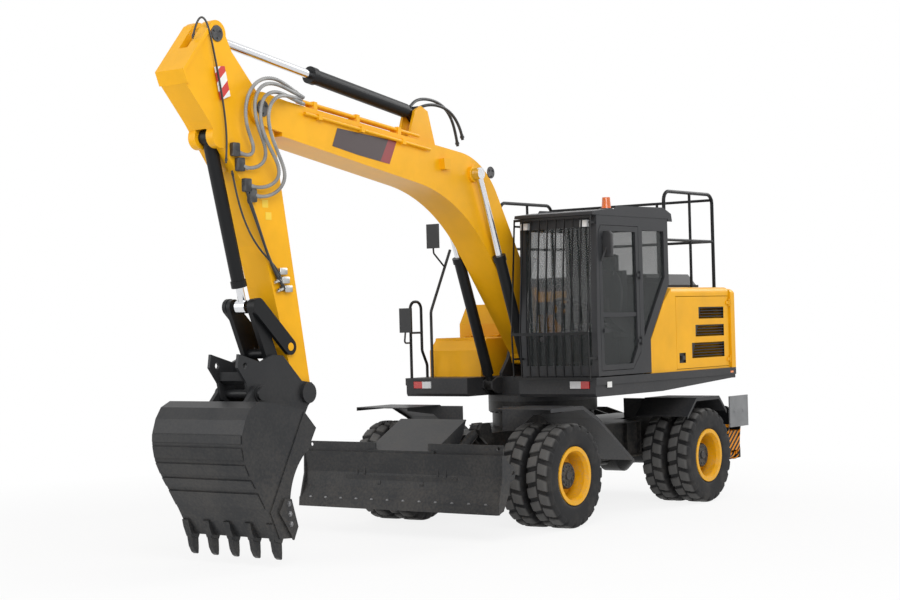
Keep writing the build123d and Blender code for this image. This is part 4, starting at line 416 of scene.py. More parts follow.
def plain(name, colour, other, rough, scale, depth, metal=0.0, coat=0.0):
    """A finish of two near colours with grain at one scale."""
    finish = Shader(name, Metallic=metal, Coat_Weight=coat)
    grain = finish.noise(scale, 4.0)
    broad = finish.noise(scale / 14, 3.0)
    finish.feed(Base_Color=finish.mix(finish.ramp(broad, 0.35, 0.7), colour, other),
                Roughness=rough + grain * 0.15)
    finish.bump(grain, depth, 0.5)
    return finish


def striped(name, first, second, pitch, lean):
    """Two colours in slanted stripes of one pitch, with worn patches of dust."""
    finish = Shader(name, Coat_Weight=0.3)
    x, y, z = finish.split(finish.place())
    phase = ((x * lean + z) / pitch) % 1.0
    worn = finish.noise(24.0, 4.0)
    colour = finish.mix(phase > 0.5, first, second)
    finish.feed(Base_Color=finish.mix(finish.ramp(worn, 0.62, 0.8) * 0.5, colour, DUST),
                Roughness=0.35 + worn * 0.2)
    finish.bump(worn, 0.0004, 0.3)
    return finish


def axle_reach(shader, x, z):
    """Distance from the nearer axle, square root of the squares' sum."""
    ahead = (x - (FRONT_AXLE_X + SWING_X)).size()
    along = ahead.smallest((x - (REAR_AXLE_X + SWING_X)).size())
    up = z - WHEEL_Z
    return (along * along + up * up) ** 0.5


def tyre_rubber():
    """Black rubber whose blocks are scuffed grey on top, with fine grain."""
    rubber = Shader("tyre", Specular_IOR_Level=0.30)
    x, y, z = rubber.split(rubber.place())
    top = rubber.ramp(axle_reach(rubber, x, z), *TREAD_TOP)
    grain = rubber.noise(130.0, 4.0)
    patch = rubber.noise(6.0, 4.0)
    walls = rubber.mix(rubber.ramp(patch, 0.45, 0.75), rgb(0.012, 0.012, 0.013),
                       rgb(0.034, 0.032, 0.030))
    scuffed = rubber.mix(patch, rgb(0.070, 0.069, 0.068), rgb(0.125, 0.122, 0.118))
    rubber.feed(Base_Color=rubber.mix(top, walls, scuffed), Roughness=0.62 + grain * 0.2)
    rubber.bump(grain, 0.0015, 0.4)
    return rubber


def seat_cloth():
    """Woven seat cloth: two crossed rows of threads and a soft sheen of lighter fibres."""
    cloth = Shader("cloth", Sheen_Weight=0.3)
    x, y, z = cloth.split(cloth.place())
    across = cloth.add("ShaderNodeMath", {"operation": "SINE"}, [y * 2100.0])
    along = cloth.add("ShaderNodeMath", {"operation": "SINE"}, [(x + z) * 2100.0])
    weave = across * along * 0.5 + 0.5
    worn = cloth.noise(6.0, 3.0)
    cloth.feed(Base_Color=cloth.mix(weave, rgb(0.018, 0.019, 0.021), rgb(0.060, 0.062, 0.066)),
               Roughness=0.82 + worn * 0.1)
    cloth.bump(weave, 0.0010, 0.6)
    return cloth


def panel_paint():
    """A bare two-tone panel: black at the front, dark red behind a slanted edge, fine dust."""
    finish = Shader("panel_red", Coat_Weight=0.4)
    x, y, z = finish.split(finish.place())
    edge = (x - (2.86 + SWING_X)) + (z - 3.80) * 0.6
    worn = finish.noise(14.0, 4.0)
    red = finish.mix(worn, rgb(0.20, 0.010, 0.012), rgb(0.28, 0.014, 0.016))
    finish.feed(Base_Color=finish.mix(edge > 0.0, red, rgb(0.030, 0.012, 0.013)),
                Roughness=0.30 + worn * 0.15)
    finish.bump(finish.noise(220.0), 0.0003, 0.3)
    return finish


# sprayed paints: (name, colour, roughness, coat, share of dust)
PAINTS = (("yellow_paint", YELLOW, 0.36, 0.08, 0.10),
          ("charcoal_paint", CHARCOAL, 0.42, 0.0, 0.15),
          ("black_paint", BLACK, 0.40, 0.0, 0.15),
          ("bucket_paint", rgb(0.026, 0.027, 0.029), 0.36, 0.0, 0.12),
          ("blade_paint", rgb(0.030, 0.031, 0.033), 0.38, 0.0, 0.12),
          ("cast", rgb(0.05, 0.05, 0.05), 0.6, 0.0, 0.4))
# two near colours: (name, first, second, roughness, scale of the grain, depth, metal, coat)
PLAIN_FINISHES = (
    ("hose_grey", rgb(0.20, 0.20, 0.20), rgb(0.32, 0.32, 0.31), 0.30, 90.0, 0.0010),
    ("hose_black", rgb(0.012, 0.012, 0.013), rgb(0.03, 0.03, 0.03), 0.35, 90.0, 0.0008),
    ("steel", rgb(0.42, 0.42, 0.41), rgb(0.60, 0.60, 0.58), 0.25, 160.0, 0.0004, 1.0),
    ("bolt", rgb(0.045, 0.045, 0.047), rgb(0.10, 0.10, 0.10), 0.38, 160.0, 0.0004, 0.6),
    ("worn_edge", rgb(0.16, 0.16, 0.165), rgb(0.24, 0.24, 0.245), 0.34, 120.0, 0.0006, 0.7),
    ("label", rgb(0.80, 0.52, 0.02), rgb(0.86, 0.58, 0.04), 0.35, 60.0, 0.0002),
    ("label_white", WHITE, shades(WHITE, 0.93), 0.35, 60.0, 0.0002),
    ("reflector", rgb(0.80, 0.16, 0.008), rgb(0.90, 0.24, 0.012), 0.12, 300.0, 0.0008, 0.0, 0.8),
    ("pad_grey", rgb(0.16, 0.165, 0.17), rgb(0.22, 0.225, 0.23), 0.4, 70.0, 0.0006))


def door_paint():
    """The engine doors' yellow, black where their grilles and latch recesses lie."""
    dark = [((low, 1.15, z_low), (high, 1.2405, z_high), BLACK)
            for low, high, z_low, z_high in GRILLE_BOXES]
    return painted("door_paint", YELLOW, 0.36, 0.08, 0.10, dark)


def chromed():
    """Polished ram rods, faintly cloudy."""
    chrome = Shader("chrome", Metallic=1.0)
    wave = chrome.noise(55.0, 2.0)
    chrome.feed(Base_Color=chrome.mix(wave, rgb(0.62, 0.63, 0.65), rgb(0.80, 0.81, 0.83)),
                Roughness=0.10 + wave * 0.10)
    return chrome


def tinted_glass():
    """Dark, smeared window glass that lets the cab show through."""
    glass = Shader("glass", IOR=1.45)
    smear = glass.noise(3.0, 3.0)
    glass.feed(Base_Color=glass.mix(smear, rgb(0.020, 0.024, 0.024), rgb(0.045, 0.052, 0.052)),
               Roughness=0.02 + smear * 0.04, Alpha=0.30 + smear * 0.10)
    return glass


def moulded_trim():
    """Black moulded plastic with a leather grain."""
    trim = Shader("trim")
    leather = trim.cells(260.0)
    trim.feed(Base_Color=trim.mix(trim.noise(9.0), rgb(0.020, 0.020, 0.022),
                                  rgb(0.045, 0.045, 0.047)),
              Roughness=0.55 + leather * 0.2)
    trim.bump(leather, 0.0008, 0.5)
    return trim


def make_materials():
    """One procedural material for each finish on the machine, by its name."""
    made = [painted(*row) for row in PAINTS]
    made += [make() for make in (door_paint, leg_paint, rim_paint, lamp_glass, mirror_finish,
                                 chromed, tyre_rubber, tinted_glass, moulded_trim, seat_cloth,
                                 panel_paint)]
    made += [plain(*row) for row in PLAIN_FINISHES]
    made.append(striped("stripes_red", WHITE, RED, 0.20, 1.0))
    return {shader.name: shader for shader in made}


def seen_rays(tree):
    """1 for the rays of the camera and of mirrors and glass, 0 for those that light."""
    paths = tree.nodes.new("ShaderNodeLightPath")
    both = paths.outputs["Is Camera Ray"]
    for name in ("Is Glossy Ray", "Is Transmission Ray"):
        node = tree.nodes.new("ShaderNodeMath")
        node.operation = "MAXIMUM"
        tree.links.new(both, node.inputs[0])
        tree.links.new(paths.outputs[name], node.inputs[1])
        both = node.outputs[0]
    return both


# ------------------------------------------------------------------ surfaces
# A patch is (points, faces): an array of places and an array of rows of four corners.
def grid(x, y, z, wrap_u=False, wrap_v=False):
    """A patch through grids of x, y and z; a wrapped side joins its last row to its first."""
    rows, columns = x.shape
    points = np.stack([x, y, z], -1).reshape(-1, 3)
    i = np.arange(rows if wrap_u else rows - 1)
    j = np.arange(columns if wrap_v else columns - 1)
    a, b = np.meshgrid(i, j, indexing="ij")
    right, up = (a + 1) % rows, (b + 1) % columns
    faces = np.stack([a * columns + b, right * columns + b, right * columns + up,
                      a * columns + up], -1).reshape(-1, 4)
    return points, faces


def joined(patches):
    """Several patches as one, each patch's faces counted on from the ones before."""
    starts = np.cumsum([0] + [len(points) for points, faces in patches[:-1]])
    return (np.concatenate([points for points, faces in patches]),
            np.concatenate([faces + start for (points, faces), start in zip(patches, starts)]))


def repeated(patch, places):
    """The same patch moved to each of several places."""
    points, faces = patch
    places = np.asarray(places, float).reshape(-1, 3)
    moved = (points[None] + places[:, None]).reshape(-1, 3)
    counted = (faces[None] + (np.arange(len(places)) * len(points))[:, None, None]).reshape(-1, 4)
    return moved, counted


def make_piece(name, patches, finish, body=None, smooth=0.6):
    """Mesh from patches: seams and poles merged, normals outwards, smooth below one angle."""
    points, faces = joined(patches)
    mesh = bpy.data.meshes.new(name)
    mesh.from_pydata(points.tolist(), [], faces.tolist())
    build = bmesh.new()
    build.from_mesh(mesh)
    bmesh.ops.remove_doubles(build, verts=build.verts, dist=2e-6)
    bmesh.ops.dissolve_degenerate(build, edges=build.edges, dist=1e-7)
    bmesh.ops.recalc_face_normals(build, faces=build.faces)
    build.to_mesh(mesh)
    build.free()
    mesh.polygons.foreach_set("use_smooth", np.ones(len(mesh.polygons), bool))
    mesh.set_sharp_from_angle(angle=smooth)
    piece = bpy.data.objects.new(name, mesh)
    bpy.context.scene.collection.objects.link(piece)
    mesh.materials.append(MATERIALS[finish].material)
    if body:
        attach(piece, body)
    return piece


def turned(profile, centre, axis, sides=48):
    """A profile of (radius, distance) turned about an axis: radius times cosine and sine."""
    radius, along = np.asarray(profile, float).T
    turn = np.linspace(0, TAU, sides, endpoint=False)
    a, r = np.meshgrid(turn, radius, indexing="ij")
    t = np.broadcast_to(along, a.shape)
    spread = [r * np.cos(a), r * np.sin(a)]
    spread.insert("xyz".index(axis), t)
    x, y, z = (part + centre[i] for i, part in enumerate(spread))
    return grid(x, y, z, wrap_u=True)


def rounded(width, height, radius, corner=5):
    """Outline of a rounded rectangle: four quarter rounds, one after another."""
    turn = np.linspace(0, np.pi / 2, corner)
    arc = np.stack([np.cos(turn), np.sin(turn)], -1) * radius
    parts = []
    for quarter in range(4):
        c, s = round(math.cos(quarter * np.pi / 2)), round(math.sin(quarter * np.pi / 2))
        middle = np.array([(width / 2 - radius) * (c - s), (height / 2 - radius) * (c + s)])
        parts.append(middle + arc @ np.array([[c, s], [-s, c]]))
    return np.concatenate(parts)


def plate(outline, low, high, axis="y", bevel=0.0015):
    """A plate between two planes: its outline shrinks to the middle at both faces, edges eased."""
    outline = np.asarray(outline, float)
    middle = outline.mean(0)
    size = np.abs(outline - middle).max()
    ease = 1 - bevel / size
    shrink = np.array([0, ease, 1, 1, ease, 0])
    level = np.array([low, low, low + bevel, high - bevel, high, high])
    a = middle[0] + (outline[:, :1] - middle[0]) * shrink
    b = middle[1] + (outline[:, 1:] - middle[1]) * shrink
    c = np.broadcast_to(level, a.shape)
    order = {"y": (a, c, b), "x": (c, a, b), "z": (a, b, c)}[axis]
    return grid(*order, wrap_u=True)


def block(low, high, round_r=0.004, axis="z"):
    """A block with eased edges between two corners."""
    low, high = np.asarray(low, float), np.asarray(high, float)
    flat = [i for i in range(3) if i != "xyz".index(axis)]
    middle, size = (low + high)[flat] / 2, (high - low)[flat]
    outline = middle + rounded(size[0], size[1], min(round_r, size.min() / 2.01), 4)
    i = "xyz".index(axis)
    return plate(outline, low[i], high[i], axis, min(round_r, (high[i] - low[i]) / 3))


def bolts(places, radius, height, axis="y", side=1):
    """Hexagon heads on washers, one at each place, standing along an axis."""
    profile = [(0, 0), (radius * 1.5, 0), (radius * 1.5, height * 0.25), (radius, height * 0.25),
               (radius, height * 0.85), (radius * 0.85, height), (0, height)]
    return repeated(turned([(r, side * t) for r, t in profile], (0, 0, 0), axis, 6), places)


def smooth_path(points, samples=80):
    """A cubic B-spline through places near its control points, its ends pinned."""
    points = np.asarray(points, float)
    held = np.concatenate([2 * points[:1] - points[1:2], points, 2 * points[-1:] - points[-2:-1]])
    t = np.linspace(0, len(points) - 1 - 1e-9, samples)
    i = t.astype(int)
    f = (t - i)[:, None]
    a, b, c, d = (held[i + k] for k in range(4))
    return (a * (1 - f) ** 3 + b * (3 * f ** 3 - 6 * f ** 2 + 4)
            + c * (-3 * f ** 3 + 3 * f ** 2 + 3 * f + 1) + d * f ** 3) / 6


def hose(points, radius, sides=12, samples=80, rib=0.0, ribs=0):
    """A round section carried along a smooth path; ribs swell it as a sine of the share run.

    The section stands on the path's tangent and on the flattest direction of the whole path.
    """
    path = smooth_path(points, samples)
    ahead = np.gradient(path, axis=0)
    ahead /= np.linalg.norm(ahead, axis=1)[:, None]
    flat = np.linalg.svd(path - path.mean(0))[2][2]
    across = np.cross(ahead, flat)
    across /= np.linalg.norm(across, axis=1)[:, None]
    up = np.cross(ahead, across)
    share = np.linspace(0, 1, samples)
    r = radius + rib * np.sin(TAU * ribs * share)
    r = np.concatenate([[0], r, [0]])[:, None]
    path = np.concatenate([path[:1], path, path[-1:]])
    across = np.concatenate([across[:1], across, across[-1:]])
    up = np.concatenate([up[:1], up, up[-1:]])
    turn = np.linspace(0, TAU, sides, endpoint=False)
    x, y, z = (path[:, k:k + 1] + r * (np.cos(turn) * across[:, k:k + 1]
                                       + np.sin(turn) * up[:, k:k + 1]) for k in range(3))
    return grid(x, y, z, wrap_v=True)


def sleeve(place, heading, length, radius, sides=6):
    """A hexagon hose fitting at a place, along a heading."""
    heading = np.asarray(heading, float) / np.linalg.norm(heading)
    step = np.array([0, 0, 0.3, 0.32, 0.7, 0.72, 1.0, 1.0]) * length
    wide = np.array([0, 0.8, 0.8, 1.15, 1.15, 0.85, 0.85, 0]) * radius
    other = np.array([0.0, 1.0, 0.0]) if abs(heading[1]) < 0.8 else np.array([1.0, 0.0, 0.0])
    across = np.cross(heading, other)
    across /= np.linalg.norm(across)
    up = np.cross(heading, across)
    turn = np.linspace(0, TAU, sides, endpoint=False)
    x, y, z = (place[k] + step[:, None] * heading[k] + wide[:, None]
               * (np.cos(turn) * across[k] + np.sin(turn) * up[k]) for k in range(3))
    return grid(x, y, z, wrap_v=True)


def cushion(low, high, crown, channels=(), power=5.0, rows=44, columns=56):
    """A stuffed form: a superellipsoid between two corners with sewn channels across it.

    Each coordinate is a signed power of cosine and sine; a channel lowers the top as a narrow
    bell of the distance from its line.
    """
    low, high = np.asarray(low, float), np.asarray(high, float)
    middle, half = (low + high) / 2, (high - low) / 2
    u, v = np.meshgrid(np.linspace(-np.pi / 2, np.pi / 2, rows), np.linspace(0, TAU, columns,
                       endpoint=False), indexing="ij")

    def bent(value, k):
        return np.sign(value) * np.abs(value) ** (2 / k)

    x = bent(np.cos(u), power) * bent(np.cos(v), power)
    y = bent(np.cos(u), power) * bent(np.sin(v), power)
    z = bent(np.sin(u), 2.6)
    z = z * (1 - crown * (x ** 2 + y ** 2) / 2)
    for line in channels:
        z = z - 0.16 * np.exp(-((y - line) / 0.035) ** 2) * (z > 0)
    return grid(middle[0] + half[0] * x, middle[1] + half[1] * y, middle[2] + half[2] * z,
                wrap_v=True)


# ------------------------------------------------------------------ sizes a user may change
class ExcavatorStage(bpy.types.PropertyGroup):
    """Camera, lights and floor."""
    camera_place: bpy.props.FloatVectorProperty(
        name="Camera", description="Where the camera stands", subtype="XYZ", unit="LENGTH",
        default=(16.697 + SWING_X, 11.177, 2.131))
    camera_yaw: bpy.props.FloatProperty(
        name="Yaw", description="Heading of the camera", subtype="ANGLE",
        default=math.radians(-143.36))
    camera_pitch: bpy.props.FloatProperty(
        name="Pitch", description="Tilt of the camera above level", subtype="ANGLE",
        default=math.radians(0.636))
    camera_roll: bpy.props.FloatProperty(
        name="Roll", description="Turn of the camera about its own line of sight",
        subtype="ANGLE", default=math.radians(1.498))
    lens: bpy.props.FloatProperty(
        name="Lens", description="Focal length on a 36 mm wide sensor, in millimetres",
        default=72.56)
    daylight: bpy.props.FloatProperty(
        name="Daylight", description="Strength of the even light from all round", default=0.55)


class ExcavatorTyres(bpy.types.PropertyGroup):
    """Tread of the tyres and the fasteners of the wheels."""
    lugs: bpy.props.IntProperty(
        name="Lugs", description="Blocks round one tyre, in each of its two rows", default=21)
    lug_height: bpy.props.FloatProperty(
        name="Lug height", description="Height of a block above the groove", unit="LENGTH",
        default=0.024)
    nuts: bpy.props.IntProperty(name="Nuts", description="Wheel nuts on one wheel", default=10)


class ExcavatorHoses(bpy.types.PropertyGroup):
    """Hoses between the boom and the stick."""
    radius: bpy.props.FloatProperty(
        name="Hose radius", description="Outer radius of a grey hose", unit="LENGTH",
        default=0.0165)
    rib: bpy.props.FloatProperty(
        name="Rib", description="Height of the ribs of the hose's guard", unit="LENGTH",
        default=0.0013)


class ExcavatorMarks(bpy.types.PropertyGroup):
    """Plates and stripes."""
    thickness: bpy.props.FloatProperty(
        name="Plate", description="Thickness of a mark on its panel", unit="LENGTH", default=0.002)


class ExcavatorSeat(bpy.types.PropertyGroup):
    """Padding in the cab."""
    crown: bpy.props.FloatProperty(
        name="Crown", description="How far a pad's rim drops below its middle", subtype="FACTOR",
        default=0.25, min=0.0, max=1.0)


# ------------------------------------------------------------------ pieces
class EXCAVATOR_OT_stage(bpy.types.Operator):
    """Set the pale floor, the soft lights and the camera"""
    bl_idname = "excavator.stage"
    bl_label = "Stage"

    def execute(self, context):
        sizes = context.scene.excavator_stage
        yaw, pitch, roll = sizes.camera_yaw, sizes.camera_pitch, sizes.camera_roll
        ahead = Vector((math.cos(pitch) * math.cos(yaw), math.cos(pitch) * math.sin(yaw),
                        math.sin(pitch)))
        level = Vector((math.sin(yaw), -math.cos(yaw), 0.0))
        lift = level.cross(ahead)
        right = level * math.cos(roll) - lift * math.sin(roll)
        up = lift * math.cos(roll) + level * math.sin(roll)
        data = bpy.data.cameras.new("camera")
        data.lens = sizes.lens
        data.sensor_width = 36.0
        data.clip_end = 200.0
        camera = bpy.data.objects.new("camera", data)
        context.scene.collection.objects.link(camera)
        turn = Matrix((right, up, -ahead)).transposed().to_4x4()
        turn.translation = sizes.camera_place
        camera.matrix_world = turn
        context.scene.camera = camera
        for name, place, size, power, aim in LIGHTS:
            data = bpy.data.lights.new(name, "AREA")
            data.size = size
            data.energy = power
            light = bpy.data.objects.new(name, data)
            light.location = place
            heading = Vector(aim) - Vector(place)
            light.rotation_euler = heading.to_track_quat("-Z", "Y").to_euler()
            context.scene.collection.objects.link(light)
        side = np.linspace(-40, 40, 41)
        x, y = np.meshgrid(side, side, indexing="ij")
        points, faces = grid(x, y, np.zeros_like(x))
        mesh = bpy.data.meshes.new("floor")
        mesh.from_pydata(points.tolist(), [], faces.tolist())
        floor = bpy.data.objects.new("floor", mesh)
        context.scene.collection.objects.link(floor)
        mesh.materials.append(self.floor_material())
        world = bpy.data.worlds.new("studio")
        context.scene.world = world
        world.use_nodes = True
        nodes, links = world.node_tree.nodes, world.node_tree.links
        nodes["Background"].inputs["Strength"].default_value = sizes.daylight
        nodes["Background"].inputs["Color"].default_value = rgb(1.0, 1.0, 1.0)
        seen = nodes.new("ShaderNodeBackground")
        seen.inputs["Strength"].default_value = 1.0
        seen.inputs["Color"].default_value = rgb(1.0, 1.0, 1.0)
        mixed = nodes.new("ShaderNodeMixShader")
        links.new(seen_rays(world.node_tree), mixed.inputs[0])
        links.new(nodes["Background"].outputs[0], mixed.inputs[1])
        links.new(seen.outputs[0], mixed.inputs[2])
        links.new(mixed.outputs[0], nodes["World Output"].inputs["Surface"])
        context.scene.view_settings.view_transform = "Standard"
        return {"FINISHED"}

    def floor_material(self):
        """Pale floor that keeps part of its shadow and fades to white with distance."""
        white = Shader("floor")
        x, y, z = white.split(white.place())
        cloud = white.noise(0.7)
        white.feed(Base_Color=white.mix(cloud, rgb(0.80, 0.80, 0.80), rgb(0.84, 0.84, 0.84)),
                   Roughness=cloud * 0.1 + 0.85)
        glow = white.tree.nodes.new("ShaderNodeEmission")
        glow.inputs["Color"].default_value = rgb(1.0, 1.0, 1.0)
        rays = Socket(white, seen_rays(white.tree))
        far = white.ramp((x * x + y * y) ** 0.5, 4.5, 9.0)
        mixed = white.tree.nodes.new("ShaderNodeMixShader")
        white.tree.links.new((rays * (far * 0.15 + 0.85)).link, mixed.inputs[0])
        white.tree.links.new(white.surface.outputs[0], mixed.inputs[1])
        white.tree.links.new(glow.outputs[0], mixed.inputs[2])
        white.tree.links.new(mixed.outputs[0], white.tree.nodes["Material Output"].inputs[0])
        return white.material


def smoothstep(value, low, high):
    """0 below low and 1 above high, with a level start and end."""
    t = np.clip((value - low) / (high - low), 0, 1)
    return t * t * (3 - 2 * t)


def tyre_patch(x, y, lugs, lug_height):
    """One tyre, a closed ring.

    The section is a table of (distance from the middle plane, radius); a point stands out along
    the section's normal by the lug height times two masks: one across the section, which keeps
    a groove at the middle and fades down the walls, and one round the tyre, whose phase leans
    with the distance from the middle and is half a pitch later in the second row.
    """
    half = np.array(TYRE_SECTION)
    section = np.concatenate([half[::-1] * (-1, 1), half[1:]])
    run = np.concatenate([[0], np.cumsum(np.hypot(*np.diff(section, axis=0).T))])
    middle = run[-1] / 2
    share = np.concatenate([np.linspace(run[0], middle - TREAD_RUN, 12, endpoint=False),
                            np.linspace(middle - TREAD_RUN, middle + TREAD_RUN, 40),
                            np.linspace(middle + TREAD_RUN, run[-1], 13)[1:]])
    wide, tall = np.interp(share, run, section[:, 0]), np.interp(share, run, section[:, 1])
    slope_w, slope_r = np.gradient(wide), np.gradient(tall)
    long = np.hypot(slope_w, slope_r)
    out_w, out_r = -slope_r / long, slope_w / long
    turn = np.linspace(0, TAU, lugs * 20, endpoint=False)
    u, k = np.meshgrid(turn, np.arange(len(share)), indexing="ij")
    off = (share - middle)[k]
    row = (off > 0) * 0.5
    phase = (u * lugs / TAU + row + np.abs(off) * 1.6) % 1.0
    round_mask = smoothstep(phase, 0.13, 0.18) * (1 - smoothstep(phase, 0.82, 0.87))
    off = np.abs(off)
    cross_mask = (smoothstep(off, 0.006, 0.016) * (1 - 0.65 * smoothstep(off, 0.125, 0.150))
                  * (1 - smoothstep(off, TREAD_RUN - 0.020, TREAD_RUN - 0.008)))
    rise = lug_height * round_mask * cross_mask
    w = wide[k] + out_w[k] * rise * 0.35
    r = tall[k] + out_r[k] * rise
    return grid(x + r * np.sin(u), y + np.clip(w, -TYRE_HALF_W, TYRE_HALF_W),
                WHEEL_Z - r * np.cos(u), wrap_u=True, wrap_v=True)


class EXCAVATOR_OT_tyres(bpy.types.Operator):
    """Tread the tyres with two rows of blocks in place of the plain ones"""
    bl_idname = "excavator.tyres"
    bl_label = "Tyres"

    def execute(self, context):
        sizes = context.scene.excavator_tyres
        for name, x, s in WHEELS:
            middle = at(x, s * TWIN_Y, 0)
            patches = [tyre_patch(middle[0], middle[1] + off, sizes.lugs, sizes.lug_height)
                       for off in (-TWIN_PITCH / 2, TWIN_PITCH / 2)]
            tyres = make_piece(f"treads_{name}", patches, "tyre", f"wheel_{name}", 0.7)
            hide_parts(f"tyres_{name}")
        return {"FINISHED"}


class EXCAVATOR_OT_wheel_nuts(bpy.types.Operator):
    """Ring of nuts on each wheel disc, the hub's bolts and its cap"""
    bl_idname = "excavator.wheel_nuts"
    bl_label = "Wheel nuts"

    def execute(self, context):
        count = context.scene.excavator_tyres.nuts
        turn = np.arange(count) * TAU / count
        for name, axle, s in WHEELS:
            x = at(axle, 0, 0)[0]
            ring, hub = (np.stack([x + radius * np.cos(turn), np.full(count, s * face),
                                   WHEEL_Z + radius * np.sin(turn)], -1)
                         for radius, face in ((NUT_RING_R, NUT_FACE_Y), (HUB_BOLTS_R, HUB_FACE_Y)))
            cap = turned([(0, 0), (0.045, 0), (0.045, s * 0.010), (0.038, s * 0.016),
                          (0, s * 0.016)], (x, s * HUB_FACE_Y, WHEEL_Z), "y", 32)
            patches = [bolts(ring, 0.016, 0.026, "y", s), bolts(hub, 0.009, 0.010, "y", s), cap]
            make_piece(f"wheel_nuts_{name}", patches, "bolt", f"wheel_{name}")
        return {"FINISHED"}


def fitted_hose(points, radius, samples, length, swell, rib=0.0, ribs=0):
    """A hose with a hexagon fitting at each end, swell times as wide."""
    return [hose(points, radius, 10, samples, rib, ribs),
            sleeve(points[0], points[1] - points[0], length, radius * swell),
            sleeve(points[-1], points[-2] - points[-1], length, radius * swell)]


class EXCAVATOR_OT_arm_hoses(bpy.types.Operator):
    """Ribbed grey hoses that loop from the boom's tip to the stick's side"""
    bl_idname = "excavator.arm_hoses"
    bl_label = "Arm hoses"

    def execute(self, context):
        sizes = context.scene.excavator_hoses
        for i, route in enumerate(ARM_HOSES):
            points = [at(*p) for p in route]
            length = float(np.linalg.norm(np.diff(smooth_path(points), axis=0), axis=1).sum())
            ribs = round(length / RIB_PITCH)
            patches = fitted_hose(points, sizes.radius, ribs * 4, 0.09, 1.15, sizes.rib, ribs)
            piece = make_piece(f"arm_hose_{i + 1}", patches, "hose_grey", smooth=1.2)
            tuple(at(*HOSE_BLEND[0]))
            tuple(at(*HOSE_BLEND[1]))
            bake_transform(piece)
        return {"FINISHED"}


class EXCAVATOR_OT_body_hoses(bpy.types.Operator):
    """Black hoses at the boom's bend and along the stick"""
    bl_idname = "excavator.body_hoses"
    bl_label = "Fixed hoses"

    def execute(self, context):
        for name, body, radius, routes in FIXED_HOSES:
            patches = []
            for route in routes:
                patches += fitted_hose([at(*p) for p in route], radius, 90, 0.06, 1.25)
            make_piece(name, patches, "hose_black", body, smooth=1.2)
        return {"FINISHED"}


class EXCAVATOR_OT_fittings(bpy.types.Operator):
    """Steel blocks, pipe stubs and hose ports on the stick, end plates of the arm's pins"""
    bl_idname = "excavator.fittings"
    bl_label = "Fittings"

    def execute(self, context):
        y = ARM_Y + STICK_HALF
        steel = [block(at(x - 0.05, y, z - 0.03), at(x + 0.05, y + 0.045, z + 0.03), 0.006)
                 for x, z in ((4.335, 2.535), (4.300, 2.455), (4.365, 2.615))]
        steel += [sleeve(at(x, y + 0.025, z), (1, 0, -0.35), 0.11, 0.018)
                  for x, z in ((4.37, 2.55), (4.34, 2.47))]
        make_piece("stick_fittings", steel, "steel", "stick")
        ports = [block(at(x - 0.045, y, z - 0.06), at(x + 0.045, y + 0.05, z + 0.06), 0.008)
                 for x, z in STICK_PORTS]
        make_piece("stick_ports", ports, "bolt", "stick")
        for body, pins in ARM_PINS.items():
            caps = [patch for pin in pins for patch in pin_cap(*pin)]
            make_piece(f"{body}_pin_caps", caps, "bolt", body)
        return {"FINISHED"}


def pin_cap(x, z, radius, out):
    """A pin's end plate with three bolts, on both sides of the arm."""
    patches = []
    turn = np.arange(3) * TAU / 3 + 0.5
    for s in (1, -1):
        y = ARM_Y + s * out
        profile = [(0, 0), (radius, 0), (radius, s * 0.008), (radius - 0.004, s * 0.012),
                   (0, s * 0.012)]
        patches.append(turned(profile, tuple(at(x, y, z)), "y", 36))
        ring = np.stack([x + SWING_X + 0.62 * radius * np.cos(turn), np.full(3, y + s * 0.012),
                         z + 0.62 * radius * np.sin(turn)], -1)
        patches.append(bolts(ring, 0.009, 0.009, "y", s))
    return patches


class EXCAVATOR_OT_marks(bpy.types.Operator):
    """Bare panel on the boom, striped plates, labels and reflectors"""
    bl_idname = "excavator.marks"
    bl_label = "Marks"

    def execute(self, context):
        thick = context.scene.excavator_marks.thickness
        for name, body, finish, y, corners in MARKS:
            outline = np.array(corners, float)
            outline = np.concatenate([np.linspace(a, b, 6, endpoint=False) for a, b in
                                      zip(outline, np.roll(outline, -1, axis=0))])
            outline[:, 0] += SWING_X
            middle = ARM_Y if body in ("boom", "stick") else 0
            low, high = sorted((y, y + math.copysign(thick, y - middle)))
            patch = plate(outline, low, high, "y", 0.0005)
            make_piece(name, [patch], finish, body)
        return {"FINISHED"}


class EXCAVATOR_OT_blade_trim(bpy.types.Operator):
    """Bolts of the blade's cutting edge, the bucket's side cutters and the slew ring"""
    bl_idname = "excavator.blade_trim"
    bl_label = "Bolts"

    def execute(self, context):
        low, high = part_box("blade")
        y = np.linspace(-1.10, 1.10, 12)
        places = np.stack([np.full(12, high[0] - 0.020), y, np.full(12, low[2] + 0.085)], -1)
        make_piece("blade_bolts", [bolts(places, 0.016, 0.008, "x", 1)], "worn_edge", "blade")
        patches = []
        for s in (1, -1):
            face = ARM_Y + s * CUTTER_HALF
            spots = np.array([(4.80, face, 0.56), (4.79, face, 0.47), (4.78, face, 0.38)])
            spots[:, 0] += SWING_X
            patches.append(bolts(spots, 0.018, 0.014, "y", s))
        make_piece("cutter_bolts", patches, "worn_edge", "bucket")
        turn = np.arange(36) * TAU / 36
        radius, height = RING_BOLTS
        ring = np.stack([SWING_X + radius * np.cos(turn), radius * np.sin(turn),
                         np.full(36, height)], -1)
        make_piece("ring_bolts", [bolts(ring, 0.012, 0.014, "z", -1)], "bolt", "chassis")
        return {"FINISHED"}


